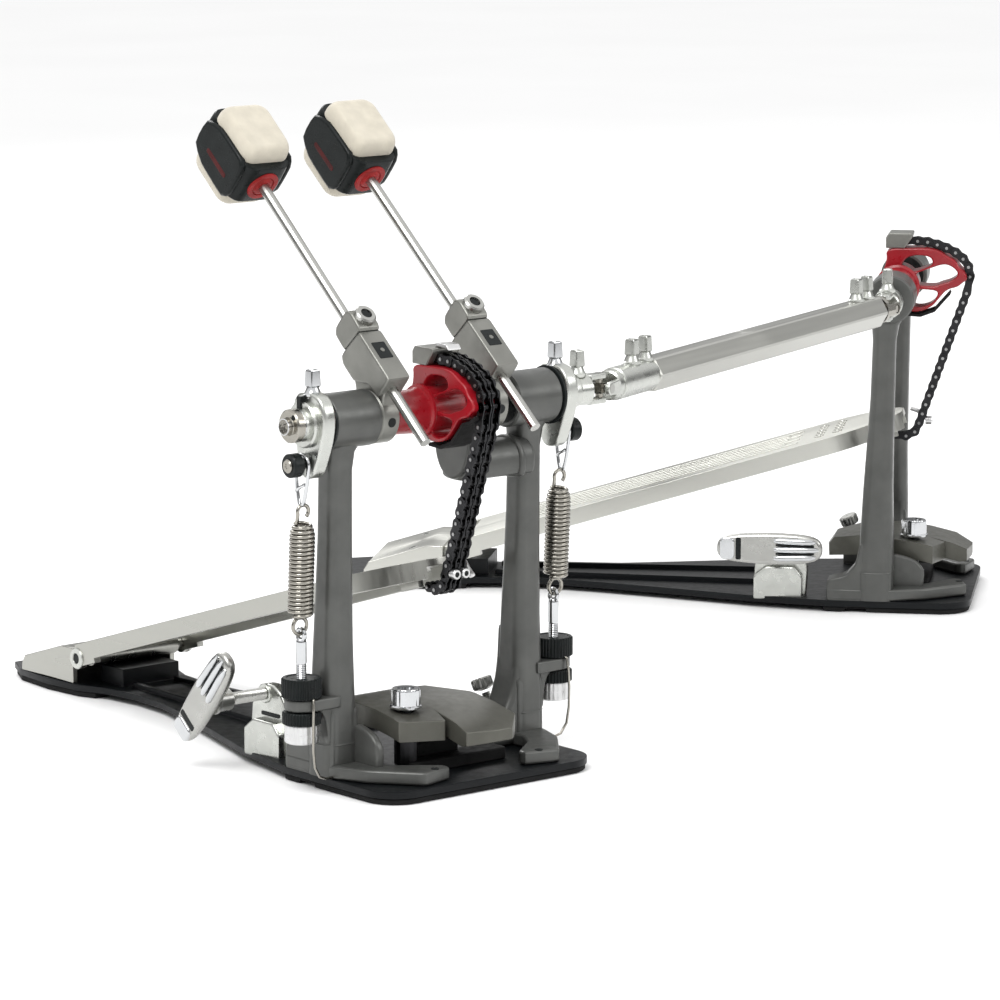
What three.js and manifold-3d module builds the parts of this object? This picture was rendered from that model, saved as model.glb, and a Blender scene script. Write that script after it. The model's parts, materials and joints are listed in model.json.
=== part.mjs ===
// Double bass drum pedal: a main pedal with two beaters, and a second pedal that drives the left beater
// through a shaft with two universal joints. Millimetres, +Z up. +Y points from heel to toe, towards the
// drum, and +X to the player's right. The origin is on the floor, under the middle of the main axle.
import * as THREE from "three";
import { mergeVertices } from "three/addons/utils/BufferGeometryUtils.js";
import Module from "manifold-3d";

const wasm = await Module();
wasm.setup();

// ---- Driving dimensions -------------------------------------------------------------------------
const AXLE_Z = 199; // height of the axle above the floor
const AXLE_R = 5; // half the thickness of an axle
const GAP = 0.3; // clearance between neighbouring pieces
const PAD_T = 2.7; // thickness of the rubber under the base
const PLATE_Z = 7; // top of the base plate
const PLATE_W = 74; // half the width of the base plate at the drum end
const PLATE_FRONT = 52; // drum end of the base plate
const HEEL_Y = -364; // heel end of the base plate
const POST_X = 65; // centre of a post, left and right
const BARREL_R = 15; // outside of the bearing barrel on a post
const BARREL_IN = 47; // inner end of a barrel
const BARREL_OUT = 78; // outer end of a barrel
const HINGE = new THREE.Vector2(-281, 23.5); // heel hinge pin: y, z
const PIN_R = 3; // half the thickness of the hinge pin
const BOARD_TILT = THREE.MathUtils.degToRad(16.9); // slope of the footboard at rest
const BOARD_L = 300; // footboard, from the hinge pin to the tip of the toe
const BOARD_W = 39; // half the width of the footboard
const LEAN = { right: 48.5, left: 49.3 }; // lean of the beater rods from the vertical at rest, in degrees
const ROD_R = 3; // half the thickness of a beater rod
const ROD_OFFSET = 21.2; // how far a beater rod passes in front of the axle
const HUB_X = { right: 41, left: -34 }; // centre of a beater hub along the axle
const SPRING_X = 87.5; // centre line of a return spring
const SPRING_Y = -5;
const SLAVE_PLACE = new THREE.Vector3(-556.2, -215.6, 0); // second pedal, beside the main one
const SLAVE_TURN = THREE.MathUtils.degToRad(41.54); // and turned about Z
const JOINT_X = 116; // centre of a universal joint, from the middle of its axle

// ---- Materials ----------------------------------------------------------------------------------
const paint = (color, roughness, metalness) => new THREE.MeshStandardMaterial({ color, roughness, metalness });
const FINISH = {
  casting: paint(0x6b6b66, 0.55, 0.3),
  black: paint(0x17191b, 0.5, 0.2),
  rubber: paint(0x101010, 0.9, 0),
  aluminium: paint(0xd9dad4, 0.3, 0.9),
  hub: paint(0x9a9b94, 0.45, 0.6),
  chrome: paint(0xe4e6e8, 0.1, 1),
  nickel: paint(0xb9b6aa, 0.25, 1),
  red: paint(0xb3121d, 0.25, 0.1),
  chain: paint(0x1c1c1e, 0.4, 0.7),
  felt: paint(0xe6e2d2, 0.8, 0),
};

// ---- Solids -------------------------------------------------------------------------------------
// A three.js geometry as a solid that can be joined and cut.
function solid(geometry) {
  const bare = new THREE.BufferGeometry();
  bare.setAttribute("position", geometry.getAttribute("position"));
  bare.setIndex(geometry.index);
  const merged = mergeVertices(bare, 1e-4);
  return new wasm.Manifold(
    new wasm.Mesh({
      numProp: 3,
      vertProperties: new Float32Array(merged.attributes.position.array),
      triVerts: new Uint32Array(merged.index.array),
    }),
  );
}
const join = (...solids) => solids.reduce((all, next) => all.add(next));
const cut = (body, ...tools) => tools.reduce((left, tool) => left.subtract(tool), body);

// A box from its lowest to its highest corner.
function box(x0, x1, y0, y1, z0, z1) {
  const g = new THREE.BoxGeometry(x1 - x0, y1 - y0, z1 - z0);
  return solid(g.translate((x0 + x1) / 2, (y0 + y1) / 2, (z0 + z1) / 2));
}

// A round bar between two points, with another radius at its far end if one is given.
function bar(from, to, r, sides = 16, rTo = r) {
  const a = new THREE.Vector3(...from);
  const b = new THREE.Vector3(...to);
  const g = new THREE.CylinderGeometry(rTo, r, a.distanceTo(b), sides);
  const along = b.clone().sub(a).normalize();
  g.applyQuaternion(new THREE.Quaternion().setFromUnitVectors(new THREE.Vector3(0, 1, 0), along));
  const middle = a.add(b).multiplyScalar(0.5);
  return solid(g.translate(middle.x, middle.y, middle.z));
}

// A turned piece whose axis is along X through (y, z). The profile is [x, radius] from end to end.
function turned(profile, y = 0, z = AXLE_Z, sides = 24) {
  const points = profile.map(([x, r]) => new THREE.Vector2(r, x));
  const g = new THREE.LatheGeometry(points, sides);
  return solid(g.rotateZ(-Math.PI / 2).translate(0, y, z));
}

// A turned piece on a vertical axis through (x, y). The profile is [z, radius] from the bottom up.
function upright(profile, x, y, sides = 20) {
  const points = profile.map(([z, r]) => new THREE.Vector2(r, z));
  return solid(new THREE.LatheGeometry(points, sides).rotateX(Math.PI / 2).translate(x, y, 0));
}

const outline = (points) => new THREE.Shape(points.map(([a, b]) => new THREE.Vector2(a, b)));
const extrude = (shape, depth, steps = 1, curveSegments = 6) =>
  new THREE.ExtrudeGeometry(shape, { depth, steps, curveSegments, bevelEnabled: false });

// A slab whose outline is drawn in X and Y, from one height to another.
const slab = (shape, z0, z1) => solid(extrude(shape, z1 - z0).translate(0, 0, z0));

// A slab whose outline is drawn in Y and Z, from one x to another.
const TO_YZ = new THREE.Matrix4().makeBasis(
  new THREE.Vector3(0, 1, 0),
  new THREE.Vector3(0, 0, 1),
  new THREE.Vector3(1, 0, 0),
);
const wall = (shape, x0, x1) => solid(extrude(shape, x1 - x0).applyMatrix4(TO_YZ).translate(x0, 0, 0));

// A rectangle with round corners, about its centre.
function roundRect(w, h, r) {
  const s = new THREE.Shape();
  s.absarc(w / 2 - r, -h / 2 + r, r, -Math.PI / 2, 0);
  s.absarc(w / 2 - r, h / 2 - r, r, 0, Math.PI / 2);
  s.absarc(-w / 2 + r, h / 2 - r, r, Math.PI / 2, Math.PI);
  s.absarc(-w / 2 + r, -h / 2 + r, r, Math.PI, 1.5 * Math.PI);
  return s;
}

// Turns a solid about a line along X through (y, z).
function swung(body, angle, y, z) {
  return body
    .translate([0, -y, -z])
    .rotate([THREE.MathUtils.radToDeg(angle), 0, 0])
    .translate([0, y, z]);
}
const mirrored = (body) => body.mirror([1, 0, 0]);

// ---- Meshes -------------------------------------------------------------------------------------
const pedal = new THREE.Group();
const slave = new THREE.Group();
slave.position.copy(SLAVE_PLACE);
slave.rotation.z = SLAVE_TURN;
pedal.add(slave);

// Adds a solid to a group as a named mesh.
function add(group, name, body, material) {
  const data = body.getMesh();
  const positions = new Float32Array(data.numVert * 3);
  for (let i = 0; i < data.numVert; i++) {
    positions.set(data.vertProperties.subarray(i * data.numProp, i * data.numProp + 3), i * 3);
  }
  const g = new THREE.BufferGeometry();
  g.setAttribute("position", new THREE.BufferAttribute(positions, 3));
  g.setIndex(new THREE.BufferAttribute(data.triVerts, 1));
  g.computeVertexNormals();
  const mesh = new THREE.Mesh(g, material);
  mesh.name = name;
  group.add(mesh);
}

// ---- Base: rubber, plate and heel plate ---------------------------------------------------------
// Right-hand edge of the base plate, from the drum end to the heel, as [half width, y].
const PLATE_EDGE = [
  [74, -36],
  [64, -88],
  [54.5, -119],
  [44, -153],
  [34.5, -186],
  [28, -214],
  [26, -242],
  [29, -268],
  [36, -286],
  [38, -314],
  [35, -345],
];
const PLATE_CORNER = 20;

// The plan of the plate, drawn in by a margin and kept between two y values.
function platePlan(margin = 0) {
  const w = PLATE_W - margin;
  const front = PLATE_FRONT - margin;
  const r = PLATE_CORNER - margin;
  const s = new THREE.Shape();
  s.moveTo(26 - margin, HEEL_Y + margin);
  for (const [x, y] of [...PLATE_EDGE].reverse()) s.lineTo(x - margin, y);
  s.absarc(w - r, front - r, r, 0, Math.PI / 2);
  s.absarc(-w + r, front - r, r, Math.PI / 2, Math.PI);
  for (const [x, y] of PLATE_EDGE) s.lineTo(-x + margin, y);
  s.lineTo(-26 + margin, HEEL_Y + margin);
  return s;
}

function basePlate() {
  const plate = slab(platePlan(), PAD_T + GAP, PLATE_Z);
  const ribs = [-1, 1].map((side) =>
    slab(
      outline([
        [side * 13, -258],
        [side * 16, -258],
        [side * 24, -80],
        [side * 20, -80],
      ]),
      PLATE_Z - 1,
      PLATE_Z + 3,
    ),
  );
  const riser = box(-20, 20, -284, -262, PLATE_Z - 1, 17.4);
  return join(plate, riser, ...ribs);
}

// Rubber under the drum end, with a notch across it that leaves a separate bar at the back.
function frontPad() {
  const sheet = slab(platePlan(1), 0, PAD_T).intersect(box(-80, 80, -40, 60, -1, PAD_T + 1));
  return cut(sheet, box(-80, 80, -26, -13, -1, PAD_T - 1));
}
const heelPad = () => slab(platePlan(1), 0, PAD_T).intersect(box(-80, 80, -370, -275, -1, PAD_T + 1));

// Sloping heel plate, hollow below, with the hinge knuckle at its raised end and the pin pressed into it.
const HEEL_TOP = 28; // top of the heel plate at the hinge
const HEEL_END = -341; // its low end
const HEEL_HALF = 36.5; // half its width
function heelPlate() {
  const low = PLATE_Z + GAP;
  const wedge = wall(
    outline([
      [HEEL_END, low],
      [-289, low],
      [-289, HEEL_TOP],
      [-300, HEEL_TOP],
      [HEEL_END + 3, low + 9],
      [HEEL_END, low + 4],
    ]),
    -HEEL_HALF,
    HEEL_HALF,
  );
  const hollow = wall(
    outline([
      [HEEL_END + 8, low - 1],
      [-288, low - 1],
      [-288, HEEL_TOP - 3.5],
      [-300, HEEL_TOP - 3.5],
      [HEEL_END + 8, low + 6],
    ]),
    -HEEL_HALF + 3.5,
    HEEL_HALF - 3.5,
  );
  const [y, z] = HINGE.toArray();
  const knuckle = bar([-30, y, z], [30, y, z], 5.6);
  const web = box(-30, 30, -290, -281, 21, HEEL_TOP - 1);
  const pin = bar([-BOARD_W, y, z], [BOARD_W, y, z], PIN_R);
  return join(cut(wedge, hollow), web, knuckle, pin);
}

// ---- Footboard ----------------------------------------------------------------------------------
// Drawn flat, with the hinge pin at the origin and the board along +Y, then tilted onto the pin.
const BOARD_TOP = 8.2; // top face above the pin
const BOARD_T = 4; // thickness of the deck
const FLANGE_LOW = -2.3; // lower edge of the side flanges
const FLANGE_T = 4.5; // thickness of a flange
const TAPER = 50; // length over which the toe narrows
const TIP_HALF = 12; // half the width of the toe's tip
function boardPlan(margin) {
  const w = BOARD_W - margin;
  const tip = BOARD_L - margin;
  const s = new THREE.Shape();
  s.moveTo(-w, 9);
  s.lineTo(w, 9);
  s.lineTo(w, BOARD_L - TAPER);
  s.bezierCurveTo(w, BOARD_L - TAPER + 16, TIP_HALF + 12, tip - 3, TIP_HALF - 4, tip);
  s.lineTo(-TIP_HALF + 4, tip);
  s.bezierCurveTo(-TIP_HALF - 12, tip - 3, -w, BOARD_L - TAPER + 16, -w, BOARD_L - TAPER);
  return s;
}
function footboard() {
  const deck = slab(boardPlan(0), BOARD_TOP - BOARD_T, BOARD_TOP);
  const hollow = slab(boardPlan(FLANGE_T), FLANGE_LOW - 1, BOARD_TOP - BOARD_T);
  const skirt = cut(slab(boardPlan(0), FLANGE_LOW, BOARD_TOP), hollow);
  const heelEnd = box(-BOARD_W + FLANGE_T, BOARD_W - FLANGE_T, 0, 20, FLANGE_LOW - 1, BOARD_TOP - BOARD_T);
  const ears = [-BOARD_W, BOARD_W - FLANGE_T].map((x) =>
    join(bar([x, 0, 0], [x + FLANGE_T, 0, 0], 6), box(x, x + FLANGE_T, 0, 17, -5, BOARD_TOP)),
  );
  const cheeks = [-13, 9.5].map((x) => box(x, x + 3.5, BOARD_L - 22, BOARD_L - 6, -6, BOARD_TOP - 1));
  const chainSlot = box(-9.5, 9.5, BOARD_L - 24, BOARD_L + 1, -8, BOARD_TOP - BOARD_T);
  const pinHole = bar([-50, 0, 0], [50, 0, 0], PIN_R + GAP);
  const flat = cut(join(cut(join(deck, skirt), heelEnd), ...ears, ...cheeks), chainSlot, pinHole);
  return swung(flat, BOARD_TILT, 0, 0).translate([0, ...HINGE.toArray()]);
}

// ---- Posts --------------------------------------------------------------------------------------
// A post's section by height: [z, width in x, width in y, centre in y].
const POST_SECTIONS = [
  [PLATE_Z + GAP, 21, 22, -7.5],
  [48, 20, 21, -7],
  [80, 18.5, 18.5, -6.5],
  [136, 16.5, 15, -4.5],
  [192, 16, 14, -3.5],
];
function sectionAt(z) {
  const i = Math.max(1, POST_SECTIONS.findIndex(([level]) => z <= level + 1e-6));
  const [low, high] = [POST_SECTIONS[i - 1], POST_SECTIONS[i]];
  const t = (z - low[0]) / (high[0] - low[0]);
  return low.map((value, k) => THREE.MathUtils.lerp(value, high[k], t));
}
function column() {
  const [z0] = POST_SECTIONS[0];
  const [z1] = POST_SECTIONS[POST_SECTIONS.length - 1];
  const g = extrude(roundRect(1, 1, 0.3), z1 - z0, 8, 3).translate(0, 0, z0);
  const p = g.attributes.position;
  for (let i = 0; i < p.count; i++) {
    const [, wide, deep, centre] = sectionAt(THREE.MathUtils.clamp(p.getZ(i), z0, z1));
    p.setX(i, POST_X + p.getX(i) * wide);
    p.setY(i, centre + p.getY(i) * deep);
  }
  return solid(g);
}

// Bearing barrel with chamfered ends.
const barrel = () =>
  turned([
    [BARREL_IN, 0],
    [BARREL_IN, BARREL_R - 1.5],
    [BARREL_IN + 1.5, BARREL_R],
    [BARREL_OUT - 1.5, BARREL_R],
    [BARREL_OUT, BARREL_R - 1.5],
    [BARREL_OUT, 0],
  ]);

// Foot of a post: a low block under it and a bar that runs forward and inward on the plate.
function foot() {
  const low = PLATE_Z + GAP;
  const plan = outline([
    [55, -38],
    [73, -38],
    [73, 4],
    [66, 24],
    [45, 49],
    [26, 44],
    [26, 38],
    [46, 22],
    [55, 4],
  ]);
  const heelBlock = outline([
    [-38, low],
    [4, low],
    [4, 44],
    [-17, 44],
    [-21, 28],
    [-38, 21],
  ]);
  const guide = outline([
    [0, low],
    [19, low],
    [22, 16],
    [22, 27],
    [18, 31],
    [0, 31],
  ]);
  return join(slab(plan, low, 14.5), wall(heelBlock, 55.5, 74), wall(guide, 53, 59));
}

// Flare at the bottom of a left post, on the side towards the footboard.
function flare() {
  const side = outline([
    [60, PLATE_Z + GAP],
    [40, PLATE_Z + GAP],
    [40, 20],
    [44, 23.5],
    [49, 30],
    [53, 40],
    [55, 51],
    [56, 64],
    [60, 64],
  ]);
  return slab(side, -3, 17).rotate([90, 0, 0]);
}

// Ear on the outside of a main post that carries the spring's eyebolt.
const EAR_Z = [45.5, 52];
function springEar() {
  const arm = slab(
    outline([
      [70, -15],
      [88, -15],
      [96, -9],
      [96, -1],
      [88, 5],
      [70, 5],
    ]),
    ...EAR_Z,
  );
  const wedge = wall(outline([[-14, 30], [2, 30], [2, 50], [-14, 50]]), 70, 76);
  return cut(join(arm, wedge), bar([SPRING_X, SPRING_Y, 40], [SPRING_X, SPRING_Y, 60], 3.4));
}

const axleBore = (x0, x1) => bar([x0, 0, AXLE_Z], [x1, 0, AXLE_Z], AXLE_R + GAP, 24);

// Arm inside the left main post: a wall that carries the inner ends of both axles, and the cradle
// that joins it to the post under the left hub.
function innerArm() {
  const sideWall = wall(
    outline([
      [-14, 199],
      [-11, 210],
      [0, 214.5],
      [11, 210],
      [14, 199],
      [13, 176],
      [8, 160],
      [-8, 160],
      [-15, 176],
    ]),
    -24,
    -12,
  );
  const cradle = wall(
    outline([
      [-11, 158],
      [9, 158],
      [9, 168],
      [4, 172],
      [-8, 172],
      [-11, 168],
    ]),
    -62,
    -14,
  );
  return join(sideWall, cradle);
}

function post(kind) {
  const parts = [column(), barrel(), foot()];
  if (kind !== "slave") parts.push(springEar());
  const body = join(...parts);
  return cut(body, axleBore(BARREL_IN - 1, BARREL_OUT + 1));
}
function leftPost(kind) {
  const body = mirrored(join(post(kind), flare()));
  return kind === "main" ? cut(join(body, innerArm()), axleBore(-25, -11)) : body;
}

// ---- Cam and chain ------------------------------------------------------------------------------
// Side view of the cam, about the axle: [y, z].
const CAM_EDGE = [
  [-8, 24],
  [-8, 16],
  [-11, 5],
  [-11, -5],
  [-6, -11],
  [6, -15],
  [14, -16],
  [21, -13],
  [27, -7],
  [31, 0],
  [38, 2.5],
  [41.5, 6],
  [40, 12],
  [35.5, 17],
  [27, 21.5],
  [17, 24],
];
const CAM_WINDOWS = [
  [[9, 13], [19, 16], [17, 20], [8, 20]],
  [[13, 3], [27, 4], [35, 9], [27, 14.5], [22, 14], [12, 9]],
  [[11, -8], [18, -9.5], [24, -5], [18, -1], [12, -2]],
];
const CAM_W = 9.5; // half the width of the cam
const aboutAxle = (points) => outline(points.map(([y, z]) => [y, z + AXLE_Z]));
function cam() {
  const disc = wall(aboutAxle(CAM_EDGE), -CAM_W, CAM_W);
  const windows = CAM_WINDOWS.map((points) => wall(aboutAxle(points), -CAM_W - 1, CAM_W + 1));
  const collar = bar([0, 0, AXLE_Z], [33.5, 0, AXLE_Z], 12, 24);
  const bore = bar([-20, 0, AXLE_Z], [40, 0, AXLE_Z], AXLE_R + GAP, 16);
  return cut(join(cut(disc, ...windows), collar), bore);
}

// Plate on top of the cam that holds the chain's first link.
const chainAnchor = () => wall(aboutAxle([[-8, 24.3], [4, 24.3], [9, 31.5], [9, 34], [-6, 34], [-8, 31]]), -CAM_W, CAM_W);

// Middle line of the chain about the axle: on the cam, and hanging from it to the toe of the board.
const CHAIN_ON_CAM = [[9.7, 28], [18, 27.8], [28, 25.2], [38.5, 20], [43.8, 14], [45.6, 7.5], [44.4, 1]];
const CHAIN_T = 5.8; // height of a chain link
const CHAIN_HANGING = [[43.4, -3.5], [13.5, -91]];
function ribbon(points, halfWidth) {
  const path = points.map(([y, z]) => new THREE.Vector2(y, z + AXLE_Z));
  const normals = path.map((_, i) => {
    const along = path[Math.min(i + 1, path.length - 1)].clone().sub(path[Math.max(i - 1, 0)]).normalize();
    return new THREE.Vector2(-along.y, along.x).multiplyScalar(CHAIN_T / 2);
  });
  const upper = path.map((p, i) => p.clone().add(normals[i]));
  const lower = path.map((p, i) => p.clone().sub(normals[i])).reverse();
  return wall(new THREE.Shape([...upper, ...lower]), -halfWidth, halfWidth);
}
const chainWrap = (halfWidth) => ribbon(CHAIN_ON_CAM, halfWidth);
const chainDrop = (halfWidth) => ribbon(CHAIN_HANGING, halfWidth);

// ---- Hoop clamp ---------------------------------------------------------------------------------
const BOLT = new THREE.Vector2(32, 14); // clamp bolt: x, y
function clampRocker() {
  const profile = wall(
    outline([
      [-42, 33],
      [-37, 40],
      [-20, 43.5],
      [6, 42],
      [22, 39.5],
      [38, 35.5],
      [49, 31],
      [49, 24.5],
      [42, 23.5],
      [19, 29],
      [6, 31],
      [-20, 31],
      [-40, 28],
    ]),
    -60,
    60,
  );
  const plan = slab(
    outline([
      [47, 27],
      [20, 33],
      [17, 22],
      [17, 47],
      [-12, 50],
      [-24, 38],
      [-22, 2],
      [0, -36],
      [12, -42],
      [30, -40],
      [46, -14],
    ]),
    0,
    60,
  );
  return cut(profile.intersect(plan), bar([...BOLT, 20], [...BOLT, 60], 4.2));
}
const clampBolt = () =>
  upright(
    [
      [11, 0],
      [11, 3.5],
      [42.4, 3.5],
      [42.4, 10],
      [43.8, 10],
      [43.8, 7],
      [49.5, 7],
      [50.5, 6],
      [50.5, 3.2],
      [46.5, 3.2],
      [46.5, 0],
    ],
    ...BOLT,
  );
const clampSpring = () =>
  upright([[12, 4], [12, 6.5], [28.5, 6.5], [28.5, 4], [12, 4]], ...BOLT, 16);

// Wing lever at the right-hand side, on a threaded rod that runs into a bracket on the plate.
const LEVER = { y: -72, z: 40, x: 100, half: 30 };
const MAIN_LEVER_TURN = THREE.MathUtils.degToRad(54);
function clampLever(turn) {
  const wing = outline([
    [-LEVER.half, -3],
    [-LEVER.half + 5, -8],
    [-6, -9.5],
    [14, -9],
    [LEVER.half - 3, -7],
    [LEVER.half, -2],
    [LEVER.half, 3],
    [LEVER.half - 4, 7],
    [10, 9],
    [-8, 9],
    [-LEVER.half + 4, 5],
  ]);
  const blade = swung(wall(wing, LEVER.x - 4, LEVER.x + 5), turn, 0, 0).translate([0, LEVER.y, LEVER.z]);
  const collar = bar([86, LEVER.y, LEVER.z], [LEVER.x - 3, LEVER.y, LEVER.z], 6);
  const rod = bar([50, LEVER.y, LEVER.z], [90, LEVER.y, LEVER.z], 3.5);
  return join(blade, collar, rod);
}
function clampBracket() {
  const low = PLATE_Z + GAP;
  const side = outline([
    [-82, low],
    [-52, low],
    [-50, 32],
    [-58, 43],
    [-70, 46],
    [-80, 38],
    [-84, 18],
  ]);
  return cut(wall(side, 54, 61), bar([49, LEVER.y, LEVER.z], [90, LEVER.y, LEVER.z], 3.5 + GAP));
}

// Pointed screw through the left foot that bites into the floor.
const SPUR_TOP = [-61, -36, 38];
function spurScrew() {
  const tip = [-64, -27, 16];
  const neck = [-61.6, -34.2, 33.6];
  return join(bar(tip, neck, 2.5, 12), bar(neck, SPUR_TOP, 6, 12));
}

const spurHole = () => bar([-65, -24, 10], [-60, -39, 44], 3.2, 12);

// ---- Axles --------------------------------------------------------------------------------------
const mainAxle = () =>
  turned([
    [-17.4, 0],
    [-17.4, AXLE_R],
    [89, AXLE_R],
    [89, 8.5],
    [97, 8.5],
    [98, 7.5],
    [98, 4.5],
    [102, 4.5],
    [102, 0],
  ]);
const leftAxle = () => turned([[-103, 0], [-103, AXLE_R], [-18.6, AXLE_R], [-18.6, 0]]);
const slaveAxle = () => turned([[-84, 0], [-84, 8], [-79, 8], [-79, AXLE_R], [103, AXLE_R], [103, 0]]);

// ---- Beaters ------------------------------------------------------------------------------------
// Beaters are drawn upright on the axle, the rod along Z, then leaned back about the axle.
const leaned = (body, side) => swung(body, THREE.MathUtils.degToRad(LEAN[side]), 0, AXLE_Z);
const ROD_Y = ROD_OFFSET; // the rod's y before it is leaned back
const rodZ = (s) => AXLE_Z + s; // a height along the rod from the axle's level

// Hub: ring on the axle, an arm, the clamp block behind the rod and the swivel piece above it.
function hub(side) {
  const x = HUB_X[side];
  const half = 8.2;
  const ring = turned([
    [x - 5.7, 0],
    [x - 5.7, 13.5],
    [x - 4.5, 14.5],
    [x + 4.5, 14.5],
    [x + 5.7, 13.5],
    [x + 5.7, 0],
  ]);
  const arm = wall(aboutAxle([[-13, 3], [13, 3], [24, 2], [30, 8], [30, 33], [12, 36], [7, 32], [6, 18]]), x - 5.6, x + 5.6);
  const block = wall(aboutAxle([[10, 19], [20, 17], [31, 17], [31, 33], [12, 36], [7, 32]]), x - half, x + half);
  const swivel = wall(aboutAxle([[12, 34], [31, 31], [33.5, 36], [34, 47], [28, 49], [17, 47]]), x - half, x + half);
  const boss = bar([x, ROD_Y + 8, rodZ(41)], [x, ROD_Y + 15.5, rodZ(41)], 6);
  const axleHole = bar([x - 20, 0, AXLE_Z], [x + 20, 0, AXLE_Z], AXLE_R + GAP, 16);
  const rodHole = bar([x, ROD_Y, rodZ(-20)], [x, ROD_Y, rodZ(60)], ROD_R + GAP, 12);
  const recess = box(x - 5, x + 5, 31, 35, rodZ(12), rodZ(26));
  return leaned(cut(join(ring, arm, block, swivel, boss), axleHole, rodHole, recess), side);
}
const ROD_LOW = -38; // lower end of the rod along its length, from the axle's level
const HEAD_LOW = 148; // underside of the head
const HEAD_SIZE = [33, 44, 48]; // along the axle, across the rod, along the rod
function beaterRod(side) {
  const x = HUB_X[side];
  return leaned(bar([x, ROD_Y, rodZ(ROD_LOW)], [x, ROD_Y, rodZ(HEAD_LOW + 22)], ROD_R, 12), side);
}

// Head: a block with well rounded corners, whose sides draw in a little.
function beaterHead(side) {
  const x = HUB_X[side];
  const [wide, across, tall] = HEAD_SIZE;
  const g = extrude(roundRect(across, tall, 14), wide, 4, 4).translate(0, 0, -wide / 2);
  const p = g.attributes.position;
  for (let i = 0; i < p.count; i++) {
    const crown = 1 - 0.16 * Math.abs((2 * p.getZ(i)) / wide) ** 3;
    p.setX(i, p.getX(i) * crown);
    p.setY(i, p.getY(i) * crown);
  }
  g.applyMatrix4(TO_YZ);
  const middle = rodZ(HEAD_LOW + tall / 2);
  const socket = bar([x, ROD_Y, middle - tall], [x, ROD_Y, rodZ(HEAD_LOW + 23)], ROD_R + GAP, 12);
  return leaned(cut(solid(g.translate(x, ROD_Y, middle)), socket), side);
}

// ---- Return springs -----------------------------------------------------------------------------
// Lever on the outer end of an axle, with a key bolt on top and a roller at its foot.
const HOOK = [0, 178]; // the roller's pin: y, z
const PLATE_OUT = BARREL_OUT + 9.5; // outer face of the lever
function springLever() {
  const inner = BARREL_OUT + 1;
  const plate = wall(
    outline([
      [-9, 188],
      [-7, 176],
      [-3, 171],
      [3, 171],
      [7, 176],
      [15, 196],
      [15, 209],
      [8, 216],
      [-6, 216],
      [-12, 208],
    ]),
    inner,
    PLATE_OUT,
  );
  const keyBolt = join(
    upright([[214, 0], [214, 5], [217, 5], [217, 3.4], [222, 3.4], [222, 0]], inner + 4.3, 1, 12),
    box(inner + 1.1, inner + 7.5, -2.2, 4.2, 219, 228),
  );
  const pin = bar([inner + 4, ...HOOK], [101, ...HOOK], 2.5, 12);
  const roller = bar([92.3, ...HOOK], [99, ...HOOK], 6.5);
  return cut(join(plate, keyBolt, pin, roller), bar([70, 0, AXLE_Z], [120, 0, AXLE_Z], AXLE_R + GAP));
}

// The spring and its link are drawn upright over the eyebolt's eye, then tipped towards the roller's pin.
const EYE_Z = 86;
const SPRING_LEAN = Math.atan2(HOOK[0] - SPRING_Y, HOOK[1] - EYE_Z);
const tipped = (body) => swung(body, -SPRING_LEAN, SPRING_Y, EYE_Z);
function returnSpring() {
  const stub = (z0, z1) => bar([SPRING_X + 1, SPRING_Y, z0], [SPRING_X + 1, SPRING_Y, z1], 1.6, 8);
  const coil = upright([[97, 0], [97, 2], [101, 7], [146, 7], [150, 2], [150, 0]], SPRING_X + 1, SPRING_Y);
  return tipped(join(coil, stub(91, 98), stub(149, 157)));
}

// Wire link between the spring and the roller's pin: a flat loop, wide at the top.
const WIRE_R = 1.1;
const LINK_X = PLATE_OUT + 1.2 + WIRE_R;
function springLink() {
  const top = EYE_Z + Math.hypot(HOOK[0] - SPRING_Y, HOOK[1] - EYE_Z);
  const wide = 6.2;
  const loop = new THREE.Shape();
  loop.absarc(SPRING_Y, top, wide, 0, Math.PI);
  loop.lineTo(SPRING_Y - 2.6, 159);
  loop.lineTo(SPRING_Y + 2.6, 159);
  const inside = new THREE.Path();
  inside.absarc(SPRING_Y, top, wide - 2 * WIRE_R, 0, Math.PI);
  inside.lineTo(SPRING_Y - 1, 161.5);
  inside.lineTo(SPRING_Y + 1, 161.5);
  loop.holes.push(inside);
  const eye = bar([LINK_X, SPRING_Y, 160.5], [SPRING_X + 1, SPRING_Y, 160.5], 1.8, 8);
  return tipped(join(wall(loop, LINK_X - WIRE_R, LINK_X + WIRE_R), eye));
}
const eyebolt = () =>
  join(
    bar([SPRING_X, SPRING_Y, 27.5], [SPRING_X, SPRING_Y, 84], 2.9, 12),
    bar([SPRING_X - 2.2, SPRING_Y, EYE_Z], [SPRING_X + 2.2, SPRING_Y, EYE_Z], 4.4, 12),
  );
// Knurled nuts on the eyebolt, above and below the ear. The lower pair turns as one piece.
const NUT_BORE = 3.2;
function nut(profile) {
  const [low, high] = [profile[0][0], profile[profile.length - 1][0]];
  return upright([[low, NUT_BORE], ...profile, [high, NUT_BORE], [low, NUT_BORE]], SPRING_X, SPRING_Y, 24);
}
const upperNut = () => nut([[52.3, 10], [53.3, 11], [63, 11], [64, 10]]);
const lowerNut = () => nut([[28, 8.5], [29, 9.5], [38, 9.5], [38, 10.4], [45, 10.4]]);

// ---- Drive shaft --------------------------------------------------------------------------------
// Everything here is drawn along +X from a universal joint's centre, at the axle's height.
const FORK_R = 8.6; // outside of a fork
const EAR_IN = 5; // from the centre to the inside of a fork's ears
const EAR_HALF = 3.7; // half the width of an ear
const EAR_TIP = 4; // how far the ears reach past the centre
const THROAT = 9.9; // depth of the fork, from the centre
const TUBE_R = 10.4; // corner of the six-sided tube

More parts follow.
